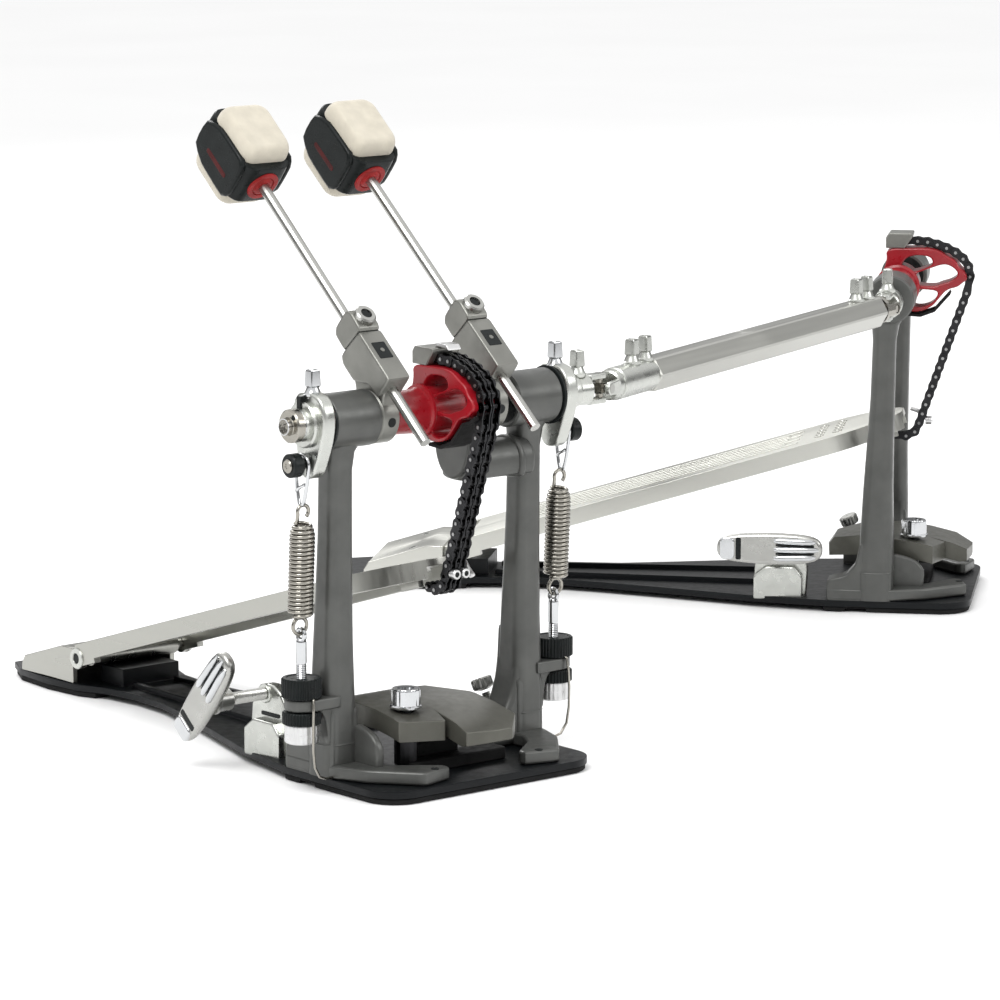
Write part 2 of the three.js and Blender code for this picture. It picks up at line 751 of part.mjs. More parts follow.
// A fork's two ears are level, either side of the centre, or stand above and below it.
function fork(length, level) {
  const body = bar([THROAT, 0, AXLE_Z], [length, 0, AXLE_Z], FORK_R, 20);
  const strip = box(-EAR_TIP, THROAT + 0.5, -12, 12, AXLE_Z - EAR_HALF, AXLE_Z + EAR_HALF);
  const middle = box(-EAR_TIP - 1, THROAT, -EAR_IN, EAR_IN, AXLE_Z - 12, AXLE_Z + 12);
  const round = bar([-EAR_TIP - 1, 0, AXLE_Z], [THROAT + 1, 0, AXLE_Z], FORK_R, 20);
  const bore = bar([0, -14, AXLE_Z], [0, 14, AXLE_Z], 2.8, 12);
  const ears = cut(strip.intersect(round), middle, bore);
  const placed = level ? ears : swung(ears, Math.PI / 2, 0, AXLE_Z);
  return join(body, placed);
}
function cross() {
  return join(
    box(-2.9, 2.9, -2.9, 2.9, AXLE_Z - 2.9, AXLE_Z + 2.9),
    bar([0, 0, AXLE_Z - 8], [0, 0, AXLE_Z + 8], 2.2, 12),
    bar([0, -8, AXLE_Z], [0, 8, AXLE_Z], 2.2, 12),
  );
}
// A square-headed key bolt standing on a shaft of radius r.
const keyBolt = (x, r) =>
  join(
    bar([x, 0, AXLE_Z + r - 3], [x, 0, AXLE_Z + r + 7], 4.2, 12, 2.8),
    box(x - 3, x + 3, -3, 3, AXLE_Z + r + 6, AXLE_Z + r + 14),
  );

// Fork clamped on the end of an axle, with its key bolt.
const AXLE_FORK_L = 28;
function axleFork() {
  const bore = bar([THROAT + 0.5, 0, AXLE_Z], [AXLE_FORK_L + 1, 0, AXLE_Z], AXLE_R + GAP, 16);
  return cut(join(fork(AXLE_FORK_L, false), keyBolt(16, FORK_R)), bore);
}

const SHAFT_COLLAR = 60; // end of the clamp collar, from the main joint
const TUBE_END = 18; // end of the tube, from the second pedal's joint
function driveTube(length) {
  const collar = bar([16, 0, AXLE_Z], [SHAFT_COLLAR, 0, AXLE_Z], FORK_R + 0.8, 20);
  const tube = bar([SHAFT_COLLAR - 4, 0, AXLE_Z], [length - TUBE_END, 0, AXLE_Z], TUBE_R, 6);
  const hollow = bar([length - 170, 0, AXLE_Z], [length - TUBE_END + 1, 0, AXLE_Z], 7.9, 6);
  const bolts = [39, 55].map((x) => keyBolt(x, FORK_R));
  const farBolts = [28, 43].map((x) => cut(keyBolt(length - x, FORK_R), box(0, length, -9, 9, 190, 207.6)));
  return join(cut(join(fork(18, true), collar, tube), hollow), ...bolts, ...farBolts);
}
const driveBar = () => join(fork(14, true), bar([12, 0, AXLE_Z], [140, 0, AXLE_Z], 7.4, 6));

// ---- Assembly -----------------------------------------------------------------------------------
const CHAIN_HALF = { main: 6.6, slave: 3.3 }; // the main chain has two rows, the second pedal's has one
for (const [kind, group] of [
  ["main", pedal],
  ["slave", slave],
]) {
  const piece = (name, body, material) => add(group, kind + "_" + name, body, material);
  piece("base_plate", basePlate(), FINISH.black);
  piece("front_pad", frontPad(), FINISH.rubber);
  piece("heel_pad", heelPad(), FINISH.rubber);
  piece("heel_plate", heelPlate(), FINISH.aluminium);
  piece("footboard", footboard(), FINISH.aluminium);
  piece("right_post", post(kind), FINISH.casting);
  piece("left_post", cut(leftPost(kind), spurHole()), FINISH.casting);
  piece("spur_screw", spurScrew(), FINISH.chrome);
  piece("axle", kind === "main" ? mainAxle() : slaveAxle(), FINISH.chrome);
  piece("cam", cam(), FINISH.red);
  piece("chain_anchor", chainAnchor(), FINISH.aluminium);
  piece("chain_wrap", chainWrap(CHAIN_HALF[kind]), FINISH.chain);
  piece("chain_drop", chainDrop(CHAIN_HALF[kind]), FINISH.chain);
  piece("clamp_rocker", clampRocker(), FINISH.casting);
  piece("clamp_bolt", clampBolt(), FINISH.chrome);
  piece("clamp_bracket", clampBracket(), FINISH.aluminium);
  piece("clamp_lever", clampLever(kind === "main" ? MAIN_LEVER_TURN : 0), FINISH.chrome);
}
add(pedal, "main_clamp_spring", clampSpring(), FINISH.nickel);

for (const side of Object.keys(HUB_X)) {
  const flip = side === "left" ? mirrored : (body) => body;
  add(pedal, side + "_hub", hub(side), FINISH.hub);
  add(pedal, side + "_beater_rod", beaterRod(side), FINISH.chrome);
  add(pedal, side + "_beater_head", beaterHead(side), FINISH.felt);
  add(pedal, side + "_spring_lever", flip(springLever()), FINISH.aluminium);
  add(pedal, side + "_spring", flip(returnSpring()), FINISH.nickel);
  add(pedal, side + "_spring_link", flip(springLink()), FINISH.nickel);
  add(pedal, side + "_eyebolt", flip(eyebolt()), FINISH.chrome);
  add(pedal, side + "_upper_nut", flip(upperNut()), FINISH.black);
  add(pedal, side + "_lower_nut", flip(lowerNut()), FINISH.nickel);
}
add(pedal, "left_axle", leftAxle(), FINISH.chrome);

// The shaft runs from the main pedal's universal joint to the second pedal's.
slave.updateMatrix();
const mainJoint = new THREE.Vector3(-JOINT_X, 0, 0);
const slaveJoint = new THREE.Vector3(JOINT_X, 0, 0).applyMatrix4(slave.matrix);
const run = slaveJoint.clone().sub(mainJoint);
const heading = Math.atan2(run.y, run.x);

// A group at a joint's centre whose +X points a given way.
function jointGroup(centre, angle) {
  const g = new THREE.Group();
  g.position.copy(centre);
  g.rotation.z = angle;
  pedal.add(g);
  return g;
}
const outward = jointGroup(mainJoint, heading);
const inward = jointGroup(slaveJoint, heading + Math.PI);
add(jointGroup(mainJoint, 0), "main_axle_fork", axleFork(), FINISH.chrome);
add(jointGroup(slaveJoint, SLAVE_TURN + Math.PI), "slave_axle_fork", axleFork(), FINISH.chrome);
add(outward, "main_cross", cross(), FINISH.chrome);
add(inward, "slave_cross", cross(), FINISH.chrome);
add(outward, "drive_tube", driveTube(run.length()), FINISH.aluminium);
add(inward, "drive_bar", driveBar(), FINISH.chrome);

export default pedal;
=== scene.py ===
"""Double bass drum pedal: the looks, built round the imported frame.

Lengths are written in millimetres and scaled by MM when a piece is made. The main pedal's frame has its
origin on the floor under the middle of the main axle, +X along the axle to the player's right and +Y
towards the drum. The second pedal is the same pedal, moved and turned by SECOND.
"""
import json
import math

import bmesh
import bpy
from mathutils import Matrix, Vector

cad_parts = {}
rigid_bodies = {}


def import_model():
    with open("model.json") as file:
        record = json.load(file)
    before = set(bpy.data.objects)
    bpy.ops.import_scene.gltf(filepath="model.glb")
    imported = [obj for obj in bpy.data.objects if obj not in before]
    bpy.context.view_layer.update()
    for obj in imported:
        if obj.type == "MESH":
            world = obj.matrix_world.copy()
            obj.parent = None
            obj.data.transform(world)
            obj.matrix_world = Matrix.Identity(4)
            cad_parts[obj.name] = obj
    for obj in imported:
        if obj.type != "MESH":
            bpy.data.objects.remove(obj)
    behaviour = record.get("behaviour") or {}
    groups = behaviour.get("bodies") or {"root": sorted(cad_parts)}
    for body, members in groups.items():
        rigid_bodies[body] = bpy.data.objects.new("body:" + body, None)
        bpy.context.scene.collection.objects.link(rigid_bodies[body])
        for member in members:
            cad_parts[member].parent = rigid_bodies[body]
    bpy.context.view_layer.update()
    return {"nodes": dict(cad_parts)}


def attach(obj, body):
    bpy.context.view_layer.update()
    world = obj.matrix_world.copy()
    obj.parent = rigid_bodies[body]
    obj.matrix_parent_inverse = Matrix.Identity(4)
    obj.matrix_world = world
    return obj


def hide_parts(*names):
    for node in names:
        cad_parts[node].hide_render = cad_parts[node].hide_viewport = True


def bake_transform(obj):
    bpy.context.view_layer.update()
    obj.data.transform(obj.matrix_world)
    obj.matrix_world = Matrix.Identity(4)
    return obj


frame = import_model()
NODES = frame["nodes"]

# ---- Driving dimensions, in millimetres ----
MM = 0.001
AXLE_Z = 199
LEVER_OUT = 87.5
# Footboard and heel plate.
BOARD_TILT = math.radians(16.9)
BOARD_TOP = 8.2
HINGE = (-281, 23.5)
HEEL_SLOPE = math.radians(17.5)
HEEL_EDGE = (-300, 28)
# Return springs.
SPRING_X = 87.5
COIL_X = 88.5
LINK_X = 89.8
SPRING_Y = -5
EYE_Z = 86
HOOK_Z = 178
SPRING_LEAN = math.atan2(-SPRING_Y, HOOK_Z - EYE_Z)
# Beaters, with each rod's lean from upright.
HUB_X = {"right": 41, "left": -34}
LEAN = {"right": math.radians(48.5), "left": math.radians(49.3)}
ROD_OFFSET = 21.2
HEAD_LOW = 148
HEAD_DEPTH = 44
HEAD_HEIGHT = 48
# Hoop clamp: its wing lever, and (x, y) of its bolt.
WING_X, WING_Y, WING_Z = 96, -72, 40
WING_HALF = 33
WING_TURN = {"main": math.radians(49), "slave": 0}
BOLT = (32, 14)
# Drive shaft and second pedal.
JOINT_X = 116
SECOND_TURN = math.radians(41.54)
SECOND = Matrix.Translation((-556.2, -215.6, 0)) @ Matrix.Rotation(SECOND_TURN, 4, "Z")
MAIN_JOINT = Vector((-JOINT_X, 0, 0))
SECOND_JOINT = SECOND @ Vector((JOINT_X, 0, 0))
SHAFT = SECOND_JOINT - MAIN_JOINT
SHAFT_TURN = math.atan2(-SHAFT.y, -SHAFT.x)
PEDALS = {"main": Matrix.Identity(4), "slave": SECOND}
SIDES = {"right": 1, "left": -1}
AXLE_BODY = {"right": "main_axle_body", "left": "left_axle_body"}


# ---- Node helpers ----
class Surface:
    """A Principled material under construction."""

    def __init__(self, name, color, metallic, roughness, **sockets):
        self.material = bpy.data.materials.new(name)
        self.material.use_nodes = True
        self.tree = self.material.node_tree
        self.shader = self.tree.nodes["Principled BSDF"]
        self.shader.inputs["Base Color"].default_value = (*color, 1)
        self.shader.inputs["Metallic"].default_value = metallic
        self.shader.inputs["Roughness"].default_value = roughness
        for key, value in sockets.items():
            self.shader.inputs[key.replace("_", " ")].default_value = value
        self.color = color
        self.height = None

    def node(self, kind, **values):
        """A new node. Each value sets its property of that name, or else its input."""
        made = self.tree.nodes.new(kind)
        for key, value in values.items():
            if hasattr(made, key):
                setattr(made, key, value)
            else:
                made.inputs[key].default_value = value
        return made

    def link(self, source, target):
        self.tree.links.new(source, target)

    def place(self, stretch=(1, 1, 1), turn=(0, 0, 0)):
        """Object coordinates, stretched along their own axes after a turn."""
        where = self.node("ShaderNodeTexCoord").outputs["Object"]
        if turn != (0, 0, 0):
            turned = self.node("ShaderNodeMapping", Rotation=turn)
            self.link(where, turned.inputs["Vector"])
            where = turned.outputs["Vector"]
        scaled = self.node("ShaderNodeMapping", Scale=stretch)
        self.link(where, scaled.inputs["Vector"])
        return scaled.outputs["Vector"]

    def noise(self, scale, detail=3, stretch=(1, 1, 1), turn=(0, 0, 0)):
        made = self.node("ShaderNodeTexNoise", Scale=scale, Detail=detail)
        self.link(self.place(stretch, turn), made.inputs["Vector"])
        return made.outputs["Fac"]

    def between(self, fac, low, high):
        """fac from 0.3 to 0.7 becomes a number from low to high."""
        made = self.node("ShaderNodeMapRange")
        for key, value in (("From Min", 0.3), ("From Max", 0.7), ("To Min", low), ("To Max", high)):
            made.inputs[key].default_value = value
        self.link(fac, made.inputs["Value"])
        return made.outputs["Result"]

    def tint(self, fac, dark, light):
        """The base colour runs between two shades of itself with fac."""
        made = self.node("ShaderNodeMix", data_type="RGBA")
        made.inputs[6].default_value = (*[c * dark for c in self.color], 1)
        made.inputs[7].default_value = (*[min(1, c * light) for c in self.color], 1)
        self.link(self.between(fac, 0, 1), made.inputs[0])
        self.link(made.outputs[2], self.shader.inputs["Base Color"])

    def gloss(self, fac, low, high):
        """The roughness runs from low to high with fac."""
        self.link(self.between(fac, low, high), self.shader.inputs["Roughness"])

    def bump(self, fac, strength, distance):
        """Relief that adds to any relief made before it."""
        made = self.node("ShaderNodeBump", Strength=strength, Distance=distance)
        if self.height is not None:
            self.link(self.height, made.inputs["Normal"])
        self.link(fac, made.inputs["Height"])
        self.height = made.outputs["Normal"]
        self.link(self.height, self.shader.inputs["Normal"])


def casting(name, color, roughness=0.5, metallic=0.25, **sockets):
    """Painted or blasted casting: fine grain and soft mottling."""
    s = Surface(name, color, metallic, roughness, **sockets)
    grain = s.noise(1400, 2)
    broad = s.noise(60, 4)
    s.tint(broad, 0.88, 1.12)
    s.gloss(s.noise(220, 3), roughness - 0.05, roughness + 0.06)
    s.bump(grain, 0.14, 0.0002)
    s.bump(broad, 0.1, 0.0006)
    return s.material


def brushed(name, color, roughness, turn=(0, 0, 0), along=1):
    """Metal brushed along X or Y (0 or 1). turn undoes the turn of a part that isn't square to these."""
    s = Surface(name, color, 1.0, roughness, Anisotropic=0.5)
    stretch = [1, 1, 0.1]
    stretch[along] = 0.015
    lines = s.noise(600, 1, tuple(stretch), turn)
    broad = s.noise(25, 4)
    s.tint(lines, 0.94, 1.04)
    s.gloss(lines, roughness - 0.04, roughness + 0.05)
    s.bump(lines, 0.01, 0.0001)
    s.bump(broad, 0.05, 0.0008)
    return s.material


def polished(name, color, roughness):
    """Plated steel with faint polishing marks and small smears."""
    s = Surface(name, color, 1.0, roughness)
    s.gloss(s.noise(160, 4), roughness * 0.8, roughness * 1.35)
    s.tint(s.noise(70, 3), 0.95, 1.03)
    s.bump(s.noise(900, 2), 0.012, 0.0001)
    return s.material


def enamel(name, color):
    """Glossy paint with a slight orange peel."""
    s = Surface(name, color, 0.0, 0.3, Coat_Weight=0.2, Coat_Roughness=0.1, Specular_IOR_Level=0.4)
    s.tint(s.noise(45, 3), 0.8, 1.15)
    s.gloss(s.noise(300, 2), 0.26, 0.38)
    s.bump(s.noise(350, 2), 0.08, 0.0003)
    return s.material


def rubbery(name, color, roughness=0.75):
    """Moulded rubber or plastic with a fine grain."""
    s = Surface(name, color, 0.0, roughness, Specular_IOR_Level=0.18)
    s.tint(s.noise(120, 4), 0.75, 1.3)
    s.gloss(s.noise(240, 3), roughness - 0.1, roughness + 0.1)
    s.bump(s.noise(1200, 2), 0.3, 0.0002)
    return s.material


def felted(name, color):
    """Pressed, slightly fuzzy pad."""
    s = Surface(name, color, 0.0, 0.85, Sheen_Weight=0.25, Sheen_Roughness=0.5)
    s.tint(s.noise(130, 5), 0.9, 1.05)
    s.gloss(s.noise(90, 3), 0.75, 0.95)
    s.bump(s.noise(1600, 4), 0.25, 0.0002)
    s.bump(s.noise(80, 3), 0.1, 0.0006)
    return s.material


PAINT = {
    "casting": casting("grey_casting", (0.09, 0.092, 0.087), 0.37, 0.45),
    "barrel": casting("rocker_casting", (0.093, 0.092, 0.078), 0.36, 0.45),
    "black": casting("black_paint", (0.006, 0.007, 0.008), 0.36, 0.0, Specular_IOR_Level=0.18),
    "rubber": rubbery("black_rubber", (0.01, 0.01, 0.01)),
    "board": brushed("brushed_main", (0.4, 0.4, 0.37), 0.3),
    # Painted light: the second pedal's board and heel plate have the main board's brushed metal made
    # lighter, for how the light falls on them.
    "board_second_painted_light": brushed("brushed_second", (0.56, 0.56, 0.52), 0.32, (0, 0, -SECOND_TURN)),
    "tube": brushed("brushed_shaft", (0.47, 0.47, 0.44), 0.34, (0, 0, -SHAFT_TURN), 0),
    "hub": casting("hub_casting", (0.215, 0.215, 0.197), 0.36, 0.7),
    "aluminium": polished("bright_casting", (0.52, 0.53, 0.5), 0.27),
    "chrome": polished("chrome", (0.56, 0.57, 0.58), 0.12),
    "satin": polished("satin_steel", (0.42, 0.42, 0.4), 0.28),
    "bright": polished("bright_steel", (0.66, 0.66, 0.66), 0.3),
    "nickel": polished("nickel", (0.34, 0.325, 0.29), 0.22),
    "red": enamel("red_enamel", (0.27, 0.005, 0.011)),
    "chain": polished("chain_black", (0.035, 0.035, 0.037), 0.32),
    "rivet": polished("rivet", (0.34, 0.34, 0.34), 0.3),
    # Black plastic parts. The same black also stands as painted shade in holes, sockets, slots and grooves.
    "plastic_and_painted_shade": rubbery("black_plastic", (0.007, 0.009, 0.009), 0.34),
    "stripe": rubbery("dark_red_plastic", (0.06, 0.008, 0.008), 0.5),
    "red_plastic": rubbery("red_plastic", (0.27, 0.015, 0.015), 0.45),
    "cream": felted("cream_pad", (0.53, 0.49, 0.405)),
}

# ---- Paint of the CAD nodes ----
# The kinds of node that each paint is for. A rounded copy of a node has the node's paint.
PAINTED = {
    "black": "base_plate",
    "rubber": "front_pad heel_pad",
    "board": "heel_plate footboard",
    "casting": "right_post left_post",
    "barrel": "clamp_rocker",
    "hub": "hub chain_anchor",
    "aluminium": "clamp_bracket spring_lever axle_fork",
    "chrome": "spur_screw axle clamp_bolt clamp_lever eyebolt",
    "nickel": "spring spring_link lower_nut cross bar",
    "satin": "beater_rod",
    "chain": "chain_wrap chain_drop clamp_spring",
    "red": "cam",
    "cream": "beater_head",
    "plastic_and_painted_shade": "upper_nut",
    "tube": "tube",
}
NODE_PAINT = {kind: key for key, kinds in PAINTED.items() for kind in kinds.split()}


def finish(side, kind):
    """The paint of a kind of node on one pedal or side."""
    key = NODE_PAINT[kind]
    # The second pedal's board takes the lighter copy, which is painted light.
    return "board_second_painted_light" if key == "board" and side == "slave" else key


for node in NODES:
    side, _, kind = node.partition("_")
    NODES[node].data.materials.clear()
    NODES[node].data.materials.append(PAINT[finish(side, kind)])


# ---- Mesh helpers ----
NOWHERE = Matrix.Identity(4)
# Edges past CREASE_ANGLE stay sharp in a piece. A refined solid's are rounded past HARD_ANGLE.
CREASE_ANGLE = math.radians(35)
HARD_ANGLE = math.radians(33)
FLAT_ANGLE = math.radians(1)


def at(x, y, z):
    return Matrix.Translation((x, y, z))


FACING_X = Matrix.Rotation(math.pi / 2, 4, "Y")
FACING_Y = Matrix.Rotation(-math.pi / 2, 4, "X")
ON_AXLE = at(0, 0, AXLE_Z) @ FACING_X


def about_x(angle, y, z):
    """A turn about a line along X through (y, z)."""
    return at(0, y, z) @ Matrix.Rotation(angle, 4, "X") @ at(0, -y, -z)


def added(name, data):
    """A new object in the scene."""
    made = bpy.data.objects.new(name, data)
    bpy.context.scene.collection.objects.link(made)
    return made


def piece(name, mesh, materials, body, replaced=None, smooth=CREASE_ANGLE):
    """A finished bmesh, in millimetres, as a piece that may ride on a body and stand for a node."""
    bmesh.ops.recalc_face_normals(mesh, faces=mesh.faces)
    bmesh.ops.scale(mesh, vec=(MM, MM, MM), verts=mesh.verts)
    data = bpy.data.meshes.new(name)
    mesh.to_mesh(data)
    mesh.free()
    for key in materials:
        data.materials.append(PAINT[key])
    data.shade_smooth()
    data.set_sharp_from_angle(angle=smooth)
    made = added(name, data)
    if body:
        made.modifiers.new("even_shading", "WEIGHTED_NORMAL").keep_sharp = True
        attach(made, body)
    if replaced:
        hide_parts(replaced)
    return made


def refined(node, width):
    """A copy of a CAD solid with its hard edges rounded, in place of the solid."""
    mesh = bmesh.new()
    mesh.from_mesh(NODES[node].data)
    bmesh.ops.scale(mesh, vec=(1 / MM, 1 / MM, 1 / MM), verts=mesh.verts)
    bmesh.ops.remove_doubles(mesh, verts=mesh.verts, dist=0.01)
    bmesh.ops.dissolve_limit(mesh, angle_limit=FLAT_ANGLE, verts=mesh.verts, edges=mesh.edges)
    hard = [e for e in mesh.edges if e.is_manifold and abs(e.calc_face_angle_signed(0)) > HARD_ANGLE]
    bmesh.ops.bevel(
        mesh, geom=hard, offset=width, segments=2, profile=0.6, affect="EDGES", clamp_overlap=True
    )
    pedal, _, kind = node.partition("_")
    key = finish(pedal, kind)
    body = NODES[node].parent.name.removeprefix("body:")
    piece(f"{pedal}_round_{kind}", mesh, [key], body, node)


def loft(mesh, rings, mat=0, closed=False, place=NOWHERE):
    """Skin over rings of points, with its two ends filled unless the rings close on themselves."""
    made = [[mesh.verts.new(place @ Vector(p)) for p in ring] for ring in rings]
    spans = list(zip(made, made[1:])) + ([(made[-1], made[0])] if closed else [])
    for low, high in spans:
        for k in range(len(low)):
            n = (k + 1) % len(low)
            mesh.faces.new((low[k], low[n], high[n], high[k])).material_index = mat
    if not closed:
        mesh.faces.new(reversed(made[0])).material_index = mat
        mesh.faces.new(made[-1]).material_index = mat
    return mesh


def tube(mesh, points, radius, sides=8, closed=False, mat=0, place=NOWHERE):
    """A round tube along points. radius is one number or one for each point."""
    count = len(points)
    radii = [radius] * count if isinstance(radius, (int, float)) else radius
    points = [Vector(p) for p in points]
    turns = [2 * math.pi * k / sides for k in range(sides)]
    side = None
    rings = []
    for i, p in enumerate(points):
        before = points[i - 1] if closed or i else p
        after = points[(i + 1) % count] if closed or i < count - 1 else p
        along = (after - before).normalized()
        if side is None:
            side = along.orthogonal().normalized()
        side = (side - along * side.dot(along)).normalized()
        up = along.cross(side)
        rings.append([p + radii[i] * (math.cos(a) * side + math.sin(a) * up) for a in turns])
    return loft(mesh, rings, mat, closed, place)


def prism(mesh, outline, low, high, mat=0, place=NOWHERE):
    """An outline in Y and Z, given depth along X."""
    return loft(mesh, [[(x, y, z) for y, z in outline] for x in (low, high)], mat, place=place)


# Turns that lay an outline's plane across X, Y or Z: its points are (y, z), (z, x) or (x, y).
PLANE = (
    ((0, 0, 1), (1, 0, 0), (0, 1, 0)),
    ((0, 1, 0), (0, 0, 1), (1, 0, 0)),
    ((1, 0, 0), (0, 1, 0), (0, 0, 1)),
)


def plate(mesh, outlines, low, high, bevel=0.6, axis=0, mat=0, place=NOWHERE):
    """A slab with round edges. The first outline is its outside and the others are holes."""
    curve = bpy.data.curves.new("outline", "CURVE")
    curve.dimensions = "2D"
    curve.fill_mode = "BOTH"
    curve.extrude = (high - low) / 2 - bevel
    curve.bevel_depth = bevel
    curve.bevel_resolution = 2
    curve.offset = -bevel
    for outline in outlines:
        spline = curve.splines.new("POLY")
        spline.points.add(len(outline) - 1)
        for point, (a, b) in zip(spline.points, outline):
            point.co = (a, b, 0, 1)
        spline.use_cyclic_u = True
    holder = bpy.data.objects.new("outline", curve)
    made = bpy.data.meshes.new_from_object(holder)
    turn = Matrix(PLANE[axis]).to_4x4()
    shift = [0, 0, 0]
    shift[axis] = (low + high) / 2
    made.transform(place @ at(*shift) @ turn)
    for polygon in made.polygons:
        polygon.material_index = mat
    mesh.from_mesh(made)
    bpy.data.objects.remove(holder)
    bpy.data.curves.remove(curve)
    bpy.data.meshes.remove(made)
    return mesh


def lathe(mesh, profile, sides=32, ridges=0, depth=0.0, mat=0, place=NOWHERE):
    """A turned shape about Z, from (z, radius) points. Points with a third entry have knurled ridges."""
    count = ridges * 4 if ridges else sides
    rings = []
    for entry in profile:
        ring = []
        for k in range(count):
            a = 2 * math.pi * k / count
            r = entry[1] - (depth if len(entry) > 2 and k % 4 in (0, 1) else 0)
            ring.append((r * math.cos(a), r * math.sin(a), entry[0]))
        rings.append(ring)
    return loft(mesh, rings, mat, place=place)


def rounded(a, b, r, steps=5):
    """A rectangle of half sizes a and b with round corners."""
    points = []
    corners = ((a - r, -b + r, -90), (a - r, b - r, 0), (-a + r, b - r, 90), (-a + r, -b + r, 180))
    for cx, cy, start in corners:
        for k in range(steps + 1):
            t = math.radians(start + 90 * k / steps)
            points.append((cx + r * math.cos(t), cy + r * math.sin(t)))
    return points


def soft(points, rounds=2):
    """A closed outline with its corners cut again and again until they are round."""
    for _ in range(rounds):
        cut = []
        for (a, b), (c, d) in zip(points, points[1:] + points[:1]):
            cut.append((0.75 * a + 0.25 * c, 0.75 * b + 0.25 * d))
            cut.append((0.25 * a + 0.75 * c, 0.25 * b + 0.75 * d))
        points = cut
    return points


def filleted(points, r):
    """A closed outline with a small curve of reach r at each corner."""
    curved = []
    corners = [Vector(p) for p in points]
    for before, here, after in zip(corners[-1:] + corners[:-1], corners, corners[1:] + corners[:1]):
        back = before - here
        on = after - here
        start = here + back.normalized() * min(r, 0.45 * back.length)
        end = here + on.normalized() * min(r, 0.45 * on.length)
        for p in (start, (start + 4 * here + end) / 6, end):
            curved.append((p.x, p.y))
    return curved


def above_axle(points):
    """(y, z) points measured from the axle, as measured from the floor."""
    return [(y, z + AXLE_Z) for y, z in points]


# ---- Chains ----
PITCH = 6.35
PLATE_R = 2.9
PLATE_T = 0.75
OUTER_X = 2.45
INNER_X = 1.6
ROLLER_R = 1.7
ROLLER_HALF = 1.2
RIVET_R = 1
PIN_R = 0.9
ROW_REACH = 3.2
ROW_GAP = 6.4
ON_CAM = [
    (5.5, 28.6), (9.7, 28.4), (18, 27.8), (28, 25.2), (38.5, 20), (43.8, 14), (45.6, 7.5), (44.6, 1),
]
STRAND_TOP = (43.3, -4.6)
STRAND_PIVOT = (14.3, -88.7)
TAIL = [(14.3, -88.7), (12, -94.2), (7, -97.3), (0.6, -97), (-3, -95)]


def spaced(path):
    """Points along a path, one pitch apart."""
    found = []
    left = 0.0
    for (y0, z0), (y1, z1) in zip(path, path[1:]):
        length = math.hypot(y1 - y0, z1 - z0)
        while left <= length + 1e-6:
            t = left / length
            found.append((y0 + t * (y1 - y0), z0 + t * (z1 - z0)))
            left += PITCH
        left -= length
    return found


def link_outline(a, b):
    """A chain plate round two pins: two round ends and a slight waist."""
    (ya, za), (yb, zb) = a, b
    heading = math.atan2(zb - za, yb - ya)
    points = []
    for (y, z), turn in ((b, -math.pi / 2), (a, math.pi / 2)):
        for k in range(9):
            t = heading + turn + math.pi * k / 8
            points.append((y + PLATE_R * math.cos(t), z + PLATE_R * math.sin(t)))
        across = heading + turn + math.pi
        waist = PLATE_R * 0.78
        points.append(((ya + yb) / 2 + waist * math.cos(across), (za + zb) / 2 + waist * math.sin(across)))
    return points


def links(mesh, pins, rows, first):
    """Plates, rollers and rivets of a chain over a list of pins. Odd links are the outer ones."""
    middles = [(k - (rows - 1) / 2) * ROW_GAP for k in range(rows)]
    for i, (a, b) in enumerate(zip(pins, pins[1:])):
        offset = OUTER_X if (i + first) % 2 else INNER_X
        for middle in middles:
            for side in (-1, 1):
                x = middle + side * offset
                prism(mesh, link_outline(a, b), x - PLATE_T / 2, x + PLATE_T / 2)
    reach = middles[-1] + ROW_REACH
    for y, z in pins:
        for middle in middles:
            tube(mesh, [(middle - ROLLER_HALF, y, z), (middle + ROLLER_HALF, y, z)], ROLLER_R, 10)
        for side in (-1, 1):
            tube(mesh, [(side * (reach - 0.6), y, z), (side * reach, y, z)], RIVET_R, 8, mat=1)
        tube(mesh, [(-reach + 0.5, y, z), (reach - 0.5, y, z)], PIN_R, 8)
    return mesh


def chain(pedal):
    """Pieces of one chain: on the cam, hanging from it, and its tail at the toe."""
    place = PEDALS[pedal]
    rows = 2 if pedal == "main" else 1
    wrap = above_axle(spaced(ON_CAM))
    top = Vector(STRAND_TOP)
    pivot = Vector(STRAND_PIVOT)
    number = round((pivot - top).length / PITCH)
    hanging = above_axle([tuple(top.lerp(pivot, k / number)) for k in range(number + 1)])
    hanging.insert(0, wrap[-1])
    tail = above_axle(spaced(TAIL))
    for name, pins, body, node in (
        ("wrap", wrap, "axle_body", "chain_wrap"),
        ("strand", hanging, "chain_strand", "chain_drop"),
        ("tail", tail, "board", None),
    ):
        mesh = links(bmesh.new(), pins, rows, len(wrap) if name == "strand" else 0)
        mesh.transform(place)
        piece(f"{pedal}_chain_{name}_links", mesh, ["chain", "rivet"], f"{pedal}_{body}",
              node and f"{pedal}_{node}")


# ---- Posts ----
POST_X = 65
FOOT_Z = 7.3
FOOT_TOP = 14.5
BURIED = 5
# A post's section by height: [z, half width, half depth, middle y].
POST = (
    (FOOT_Z, 10.6, 11, -7.5), (24, 10.4, 10.9, -7.4), (25, 10.9, 11.3, -7.4), (26.2, 10.3, 10.8, -7.3),
    (48, 9.9, 10.4, -7), (80, 9.2, 9.2, -6.5), (108, 8.6, 8.3, -5.5), (136, 8.2, 7.5, -4.5),
    (172, 8, 7.2, -3.8), (182, 8.8, 8.4, -3.2), (190, 11.5, 11.5, -1.5),
)
FOOT_PLAN = [
    (55, -38), (74, -38), (74, 4), (67, 23), (46, 49), (26, 44), (26, 38), (46, 22), (53, 10),
]
HEEL_BLOCK = [(-38, BURIED), (3, BURIED), (3, 44), (-17, 44), (-20, 30), (-26, 23), (-38, 20)]
GUIDE = [(0, BURIED), (19, BURIED), (22, 14), (22.5, 25), (17, 31), (8, 34), (0, 35)]
